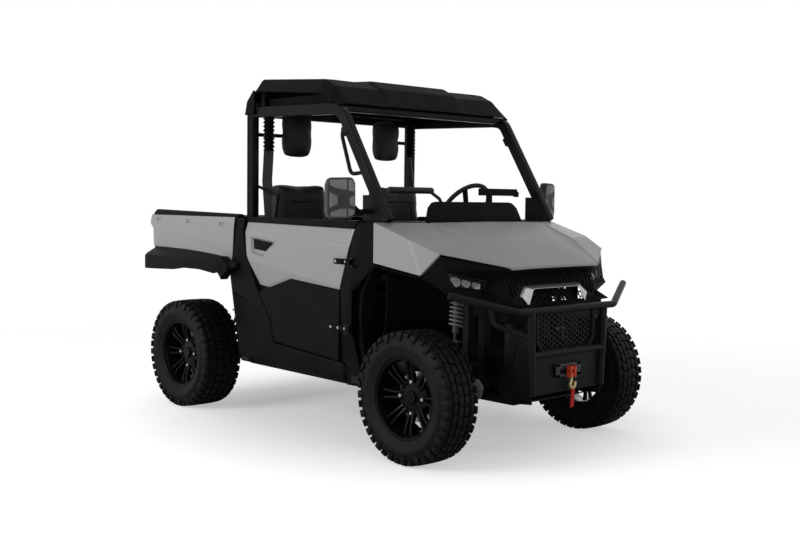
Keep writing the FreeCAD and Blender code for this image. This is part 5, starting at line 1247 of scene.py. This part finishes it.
joined(tub, copied(rib, bed_black, 12, step=(0, 0.108, 0)), both_sides(side_ribs))
piece(tub, "bed_tub", bed_black, "bed_tub", "bed", edge=0.003)

TOP_RAIL = ((-0.656, 1.176), (-0.656, 1.2), (-0.666, 1.208), (-0.69, 1.21), (-0.7, 1.202), (-0.702, 1.178))
rail = skinned(bmesh.new(), ([(-1.432 + 0.044 * (z - 1.176) / 0.032, y, z + (0.006 if z > 1.19 else 0)) for y,
    z in TOP_RAIL], [(-0.458, y, z - (0.01 if z > 1.19 else 0)) for y, z in TOP_RAIL]))
piece(both_sides(rail), "bed_rails", black_moulding, body="bed", edge=0.002)

BED_SIDE = [(-1.44, 1.18), (-1.466, 1.124), (-1.432, 1.092), (-1.424, 0.978), (-0.531, 0.909), (-0.472, 1.159),
            (-0.472, 1.18)]
BED_FOLDS = (((-1.275, 1.088), (-0.533, 0.962), -0.1), ((-1.432, 1.15), (-0.472, 1.135), 0.1))
STAKES = [([(x - 0.034, z - 0.011), (x + 0.03, z - 0.011), (x + 0.034, z + 0.011), (x - 0.03, z + 0.011)],
    0.004, 0.008) for x, z in ((-1.344, 1.152), (-0.98, 1.145), (-0.6, 1.137))]
piece(both_sides(stood(pressed(BED_SIDE, BED_FOLDS, STAKES), (0, -SIDE - 0.002, 0))), "bed_sides", grey_paint,
      "bed_side_panels", "bed", wall=0.004, facing=outwards)

FLARE = (
    # x, top, bottom, reach outwards
    (-1.401, 0.935, 0.9, 0.04), (-1.383, 0.975, 0.837, 0.09), (-1.3, 0.976, 0.838, 0.092), (-1.031, 0.972, 0.847, 0.092),
    (-0.868, 0.964, 0.869, 0.089), (-0.73, 0.956, 0.86, 0.086), (-0.6, 0.945, 0.846, 0.082), (-0.52, 0.93, 0.862, 0.064),
    (-0.436, 0.912, 0.89, 0.036),
)
FLARE_ROOT = 0.004
FLARE_FOOT = [(-0.612, 0.945), (-0.552, 0.948), (-0.476, 0.893), (-0.48, 0.872), (-0.548, 0.812), (-0.585,
    0.85)]
rings = []
for x, high, low, reach in FLARE:
    brow = (high * 2 + low) / 3
    rings.append([(x, -SIDE - y, z) for y, z in ((FLARE_ROOT, high), (reach * 0.86, brow + 0.004), (reach,
        brow - 0.01), (reach, low), (reach - 0.006, low), (reach - 0.008, brow - 0.018), (FLARE_ROOT,
        high - 0.012))])
piece(both_sides(skinned(bmesh.new(), rings)), "bed_flares", black_moulding, "bed_flares", "bed", edge=0.0025)
piece(both_sides(plate(FLARE_FOOT, 0.05, (0, -0.766, 0), roll=0.008)), "flare_feet", black_moulding, body="bed",
    edge=0.002)

GATE = [(-0.648, 0.888), (0.648, 0.888), (0.648, 1.175), (-0.648, 1.175)]
GATE_PRESS = [(-0.56, 0.935), (0.56, 0.935), (0.56, 1.12), (-0.56, 1.12)]
GATE_LATCH = [(-0.09, 1.03), (0.09, 1.03), (0.09, 1.09), (-0.09, 1.09)]
gate = plate(GATE, 0.023, (-1.46, 0, 0), (-1, 0, 0), pockets=[(GATE_PRESS, 0.012, 0.008)], roll=0.005)
for y in (-0.575, 0.5405):
    swept(gate, [(-1.444, y, 0.876), (-1.444, y + 0.0345, 0.876)], round_bar(0.008, 20))
    block(gate, (-1.45, y, 0.878), (-1.438, y + 0.0345, 0.89))
piece(gate, "tailgate", grey_paint, "tailgate", "tailgate", edge=0.0015)
piece(plate(GATE_LATCH, 0.01, (-1.458, 0, 0), (-1, 0, 0), roll=0.006), "tailgate_latch", black_moulding,
    body="tailgate", edge=0.001)

red_lens = clouded("red_lens", "lamp_red", (0.3, 0.006, 0.006), (0.44, 0.012, 0.01), 0.12, ("bands", 60.0),
    depth=0.0004, Coat_Weight=0.6)
piece(both_sides(block(bmesh.new(), (-1.446, -0.688, 1.0), (-1.432, -0.655, 1.11))), "tail_lights", red_lens,
      "tail_lights", "bed", edge=0.003)

# ---- Cab tub and battery ----
# A black moulded tub: rear wall, seat riser, floor and toe board; the battery sits under it.
CAB = [(-0.425, 1.14), (-0.425, 0.72), (-0.02, 0.72), (0.03, 0.44), (0.62, 0.44), (0.72, 0.64), (0.735, 1.166)]
piece(ribbon(bmesh.new(), CAB, -0.6, 0.6), "cab_tub", black_moulding, "cab_tub", fold=0.02, wall=0.007,
    edge=0.002, facing=lambda at: Vector((0.4 if at.x < 0 else -0.6, 0, 1.0)))
coat(moulding("battery_case", "", (0.03, 0.031, 0.034), (0.045, 0.046, 0.05), 0.5), "battery")

# ---- Seats ----
# Two black vinyl bucket seats with padded backs, and head rests on stubs from the pillars.
vinyl = clouded("seat_vinyl", "seat_vinyl", (0.011, 0.014, 0.014), (0.019, 0.023, 0.023), (0.42, 0.52),
    ("noise", 7.0, 3.0), ("cells", 900.0), 0.0003, Specular_IOR_Level=0.14)
PADS = (
    # name, node, low corner, high corner on the right, the way it faces, how far its sides stand out,
    # how far it narrows at its foot and its head, and its seams across the face
    ("seat_cushion", "seat_cushions", (-0.3, -0.583, 0.7205), (0.15, -0.179, 0.85), 2, 0.022, (0.0, 0.06),
     (((-0.26, -0.505), (0.07, -0.492)), ((-0.26, -0.257), (0.07, -0.27)), ((0.07, -0.492), (0.07, -0.27)))),
    ("seat_back", "seatbacks", (-0.36, -0.583, 0.8503), (-0.245, -0.179, 1.372), 0, 0.026, (0.03, 0.16),
     (((-0.497, 0.88), (-0.503, 1.13), (-0.475, 1.27)), ((-0.265, 0.88), (-0.259, 1.13), (-0.287, 1.27)),
      ((-0.475, 1.27), (-0.287, 1.27)))),
    ("head_rest", "headrests", (-0.3976, -0.46, 1.54), (-0.304, -0.252, 1.787), 0, 0.0, (0.26, 0.1), ()),
)
VOXEL = 0.006
SWELL = 0.024
SEAM_WIDTH, SEAM_DEPTH = 0.008, 0.005
REST = 0.006


def off_line(spot, line):
    """How far a point of the face is from a seam."""
    return min((spot - start - (end - start) * max(0.0, min(1.0,
        (spot - start).dot(end - start) / (end - start).length_squared))).length for start,
        end in zip(map(Vector, line), map(Vector, line[1:])))


def stuffed(low, high, face, sides, narrow, seams):
    """A pad from its box: a sewn cover blown up by its filling, flat where it rests behind or below."""
    low, high = Vector(low), Vector(high)
    up = 2 if face == 0 else 0
    shape = block(bmesh.new(), (-1, -1, -1), (1, 1, 1))
    bmesh.ops.subdivide_edges(shape, edges=shape.edges, cuts=15, use_grid_fill=True)
    for vert in shape.verts:
        across, along, out = vert.co.y, vert.co[up], vert.co[face]
        pull = narrow[1] * max(0.0, along) ** 3 + narrow[0] * max(0.0, -along) ** 3
        at = Vector((0, 0, 0))
        at.y = across * (1 - pull) * 0.93
        at[up] = along * 0.94
        at[face] = out * 0.82
        if out > 0:
            at[face] -= sides * 16 * max(0.0, 0.72 - abs(across)) * (0.85 - 0.5 * abs(along))
        vert.co = Vector([(low[i] + high[i]) / 2 + at[i] * (high[i] - low[i]) / 2 for i in range(3)])
    cover = loose(shape, "cover")
    rounded(cover, 0.016, 4, 40)
    cover.modifiers.new("cover", "REMESH").voxel_size = VOXEL
    settled(cover)
    before = [vert.co.copy() for vert in cover.data.vertices]
    filling = cover.modifiers.new("filling", "CLOTH")
    filling.settings.use_pressure, filling.settings.uniform_pressure_force = True, 4.0
    filling.settings.effector_weights.gravity = 0.0
    for step in range(1, 21):
        bpy.context.scene.frame_set(step)
    settled(cover)
    bpy.context.scene.frame_set(1)
    for vert, start in zip(cover.data.vertices, before):
        moved = vert.co - start
        vert.co = start + moved * min(1.0, SWELL / max(moved.length, 1e-6))
    tight = cover.modifiers.new("tight", "SMOOTH")
    tight.factor, tight.iterations = 0.5, 40
    cover.modifiers.new("rounder", "SUBSURF").levels = 1
    settled(cover)
    seen = [[value(vert.co[i] for vert in cover.data.vertices) for i in range(3)] for value in (min, max)]
    normals = [vert.normal.copy() for vert in cover.data.vertices]
    for vert, normal in zip(cover.data.vertices, normals):
        vert.co = Vector([low[i] + (vert.co[i] - seen[0][i]) * (high[i] - low[i]) / (seen[1][i] - seen[0][i])
                          for i in range(3)])
        if normal[face] > 0.3:
            spot = Vector((vert.co[up], vert.co.y) if face == 2 else (vert.co.y, vert.co[up]))
            for line in seams:
                vert.co -= normal * SEAM_DEPTH * math.exp(-(off_line(spot, line) / SEAM_WIDTH * 2) ** 2)
        vert.co[face] = max(low[face] + REST, vert.co[face]) - REST
        vert.co[face] = low[face] + (vert.co[face] - low[face]) * (high[face] - low[face]) / (high[face] - low[
            face] - REST)
    cover.modifiers.new("lighter", "DECIMATE").ratio = 0.35
    return reopened(settled(cover))


for label, node, low, high, face, sides, narrow, seams in PADS:
    right_pad = stuffed(low, high, face, sides, narrow, seams)
    for side, pad in (("right", right_pad.copy()), ("left", handed(right_pad, "left"))):
        piece(pad, "%s_%s" % (label, side), vinyl, node, smooth=60.0)

# ---- Seat belts ----
# Black webbing that hangs from a ribbed boot at each shoulder down to an anchor by the seat.
belt_webbing = clouded("belt_webbing", "belt_web", (0.01, 0.01, 0.01), (0.022, 0.022, 0.022), 0.85, ("bands",
    220.0), depth=0.0005)
BOOT_X, BOOT_Y, BOOT_LOW, BOOT_HIGH, BOOT_FOLDS = -0.345, -0.566, 1.571, 1.802, 20
belts = swept(bmesh.new(), [(BOOT_X, BOOT_Y, 1.575), (-0.33, -0.588, 1.392), (-0.25, -0.588, 0.74)],
              flat_bar(0.058, 0.0025), side=(0.66, 0.75, 0))
rise = [(BOOT_X, BOOT_Y, BOOT_LOW + (BOOT_HIGH - BOOT_LOW) * i / BOOT_FOLDS) for i in range(BOOT_FOLDS + 1)]
boots = swept(bmesh.new(), rise, round_bar(0.035, 20),
    sizes=[0.72 if i % 2 else 1.0 for i in range(BOOT_FOLDS + 1)])
swept(boots, [(BOOT_X, BOOT_Y, 1.79), (-0.377, BOOT_Y, 1.79)], round_bar(0.009))
block(boots, (-0.28, -0.598, 0.7205), (-0.22, -0.586, 0.8))
piece(both_sides(belts), "seat_belts", belt_webbing, "seat_belts")
piece(both_sides(boots), "belt_boots", black_moulding)

# ---- Steering wheel ----
# A padded three-spoke wheel on a column that leans back to the driver on the left.
LEAN = math.radians(35.0)
HUB = Vector((0.358, 0.35, 1.236))
down_shaft = Vector((math.cos(LEAN), 0, -math.sin(LEAN)))
leftwards = Vector((0, 1, 0))
up_wheel = leftwards.cross(down_shaft)
turns = [math.tau * i / 72 for i in range(72)]
wheel = swept(bmesh.new(), [HUB + (leftwards * math.sin(turn) + up_wheel * math.cos(turn)) * 0.178
    for turn in turns], round_bar(0.0135, 14), closed=True)
for turn in (90, 210, 330):
    arm = Matrix.Rotation(math.radians(turn), 3, down_shaft) @ up_wheel
    swept(wheel, [HUB + down_shaft * 0.022, HUB + down_shaft * 0.012 + arm * 0.1, HUB + arm * 0.172],
          square_bar(0.034, 0.01, 0.004), side=arm.cross(down_shaft))
swept(wheel, [HUB + down_shaft * t for t in (-0.004, 0.002, 0.04, 0.046)], round_bar(0.042, 32), sizes=(0.8, 1,
    1, 0.8))
swept(wheel, [HUB + down_shaft * 0.02, HUB + down_shaft * 0.4], round_bar(0.0138, 20))
piece(wheel, "steering_wheel", vinyl, "steering_wheel", "steering_wheel", "black_plastic")

# ---- Grab bar and display ----
# A padded bar on a bent post for the passenger, and a wide instrument display on a short post.
grab = swept(bmesh.new(), [(0.635, y, 1.343) for y in (-0.51, -0.502, -0.3, -0.198, -0.19)], round_bar(0.0175,
    20), sizes=(0.8, 1, 1, 1, 0.8))
swept(grab, bent([(0.64, -0.215, 1.34), (0.69, -0.19, 1.3), (0.738, -0.16, 1.181)], 0.03), round_bar(0.009, 16))
piece(grab, "grab_bar", vinyl, "grab_bar", slot="black_plastic")
piece(block(bmesh.new(), (0.614, 0.194, 1.322), (0.656, 0.486, 1.362), (0.62, 0.486, 1.316), (0.65, 0.506,
    1.348), (0.64, 0.23, 1.18), (0.66, 0.266, 1.33)), "instrument_display", black_moulding,
    "instrument_display", edge=0.004)
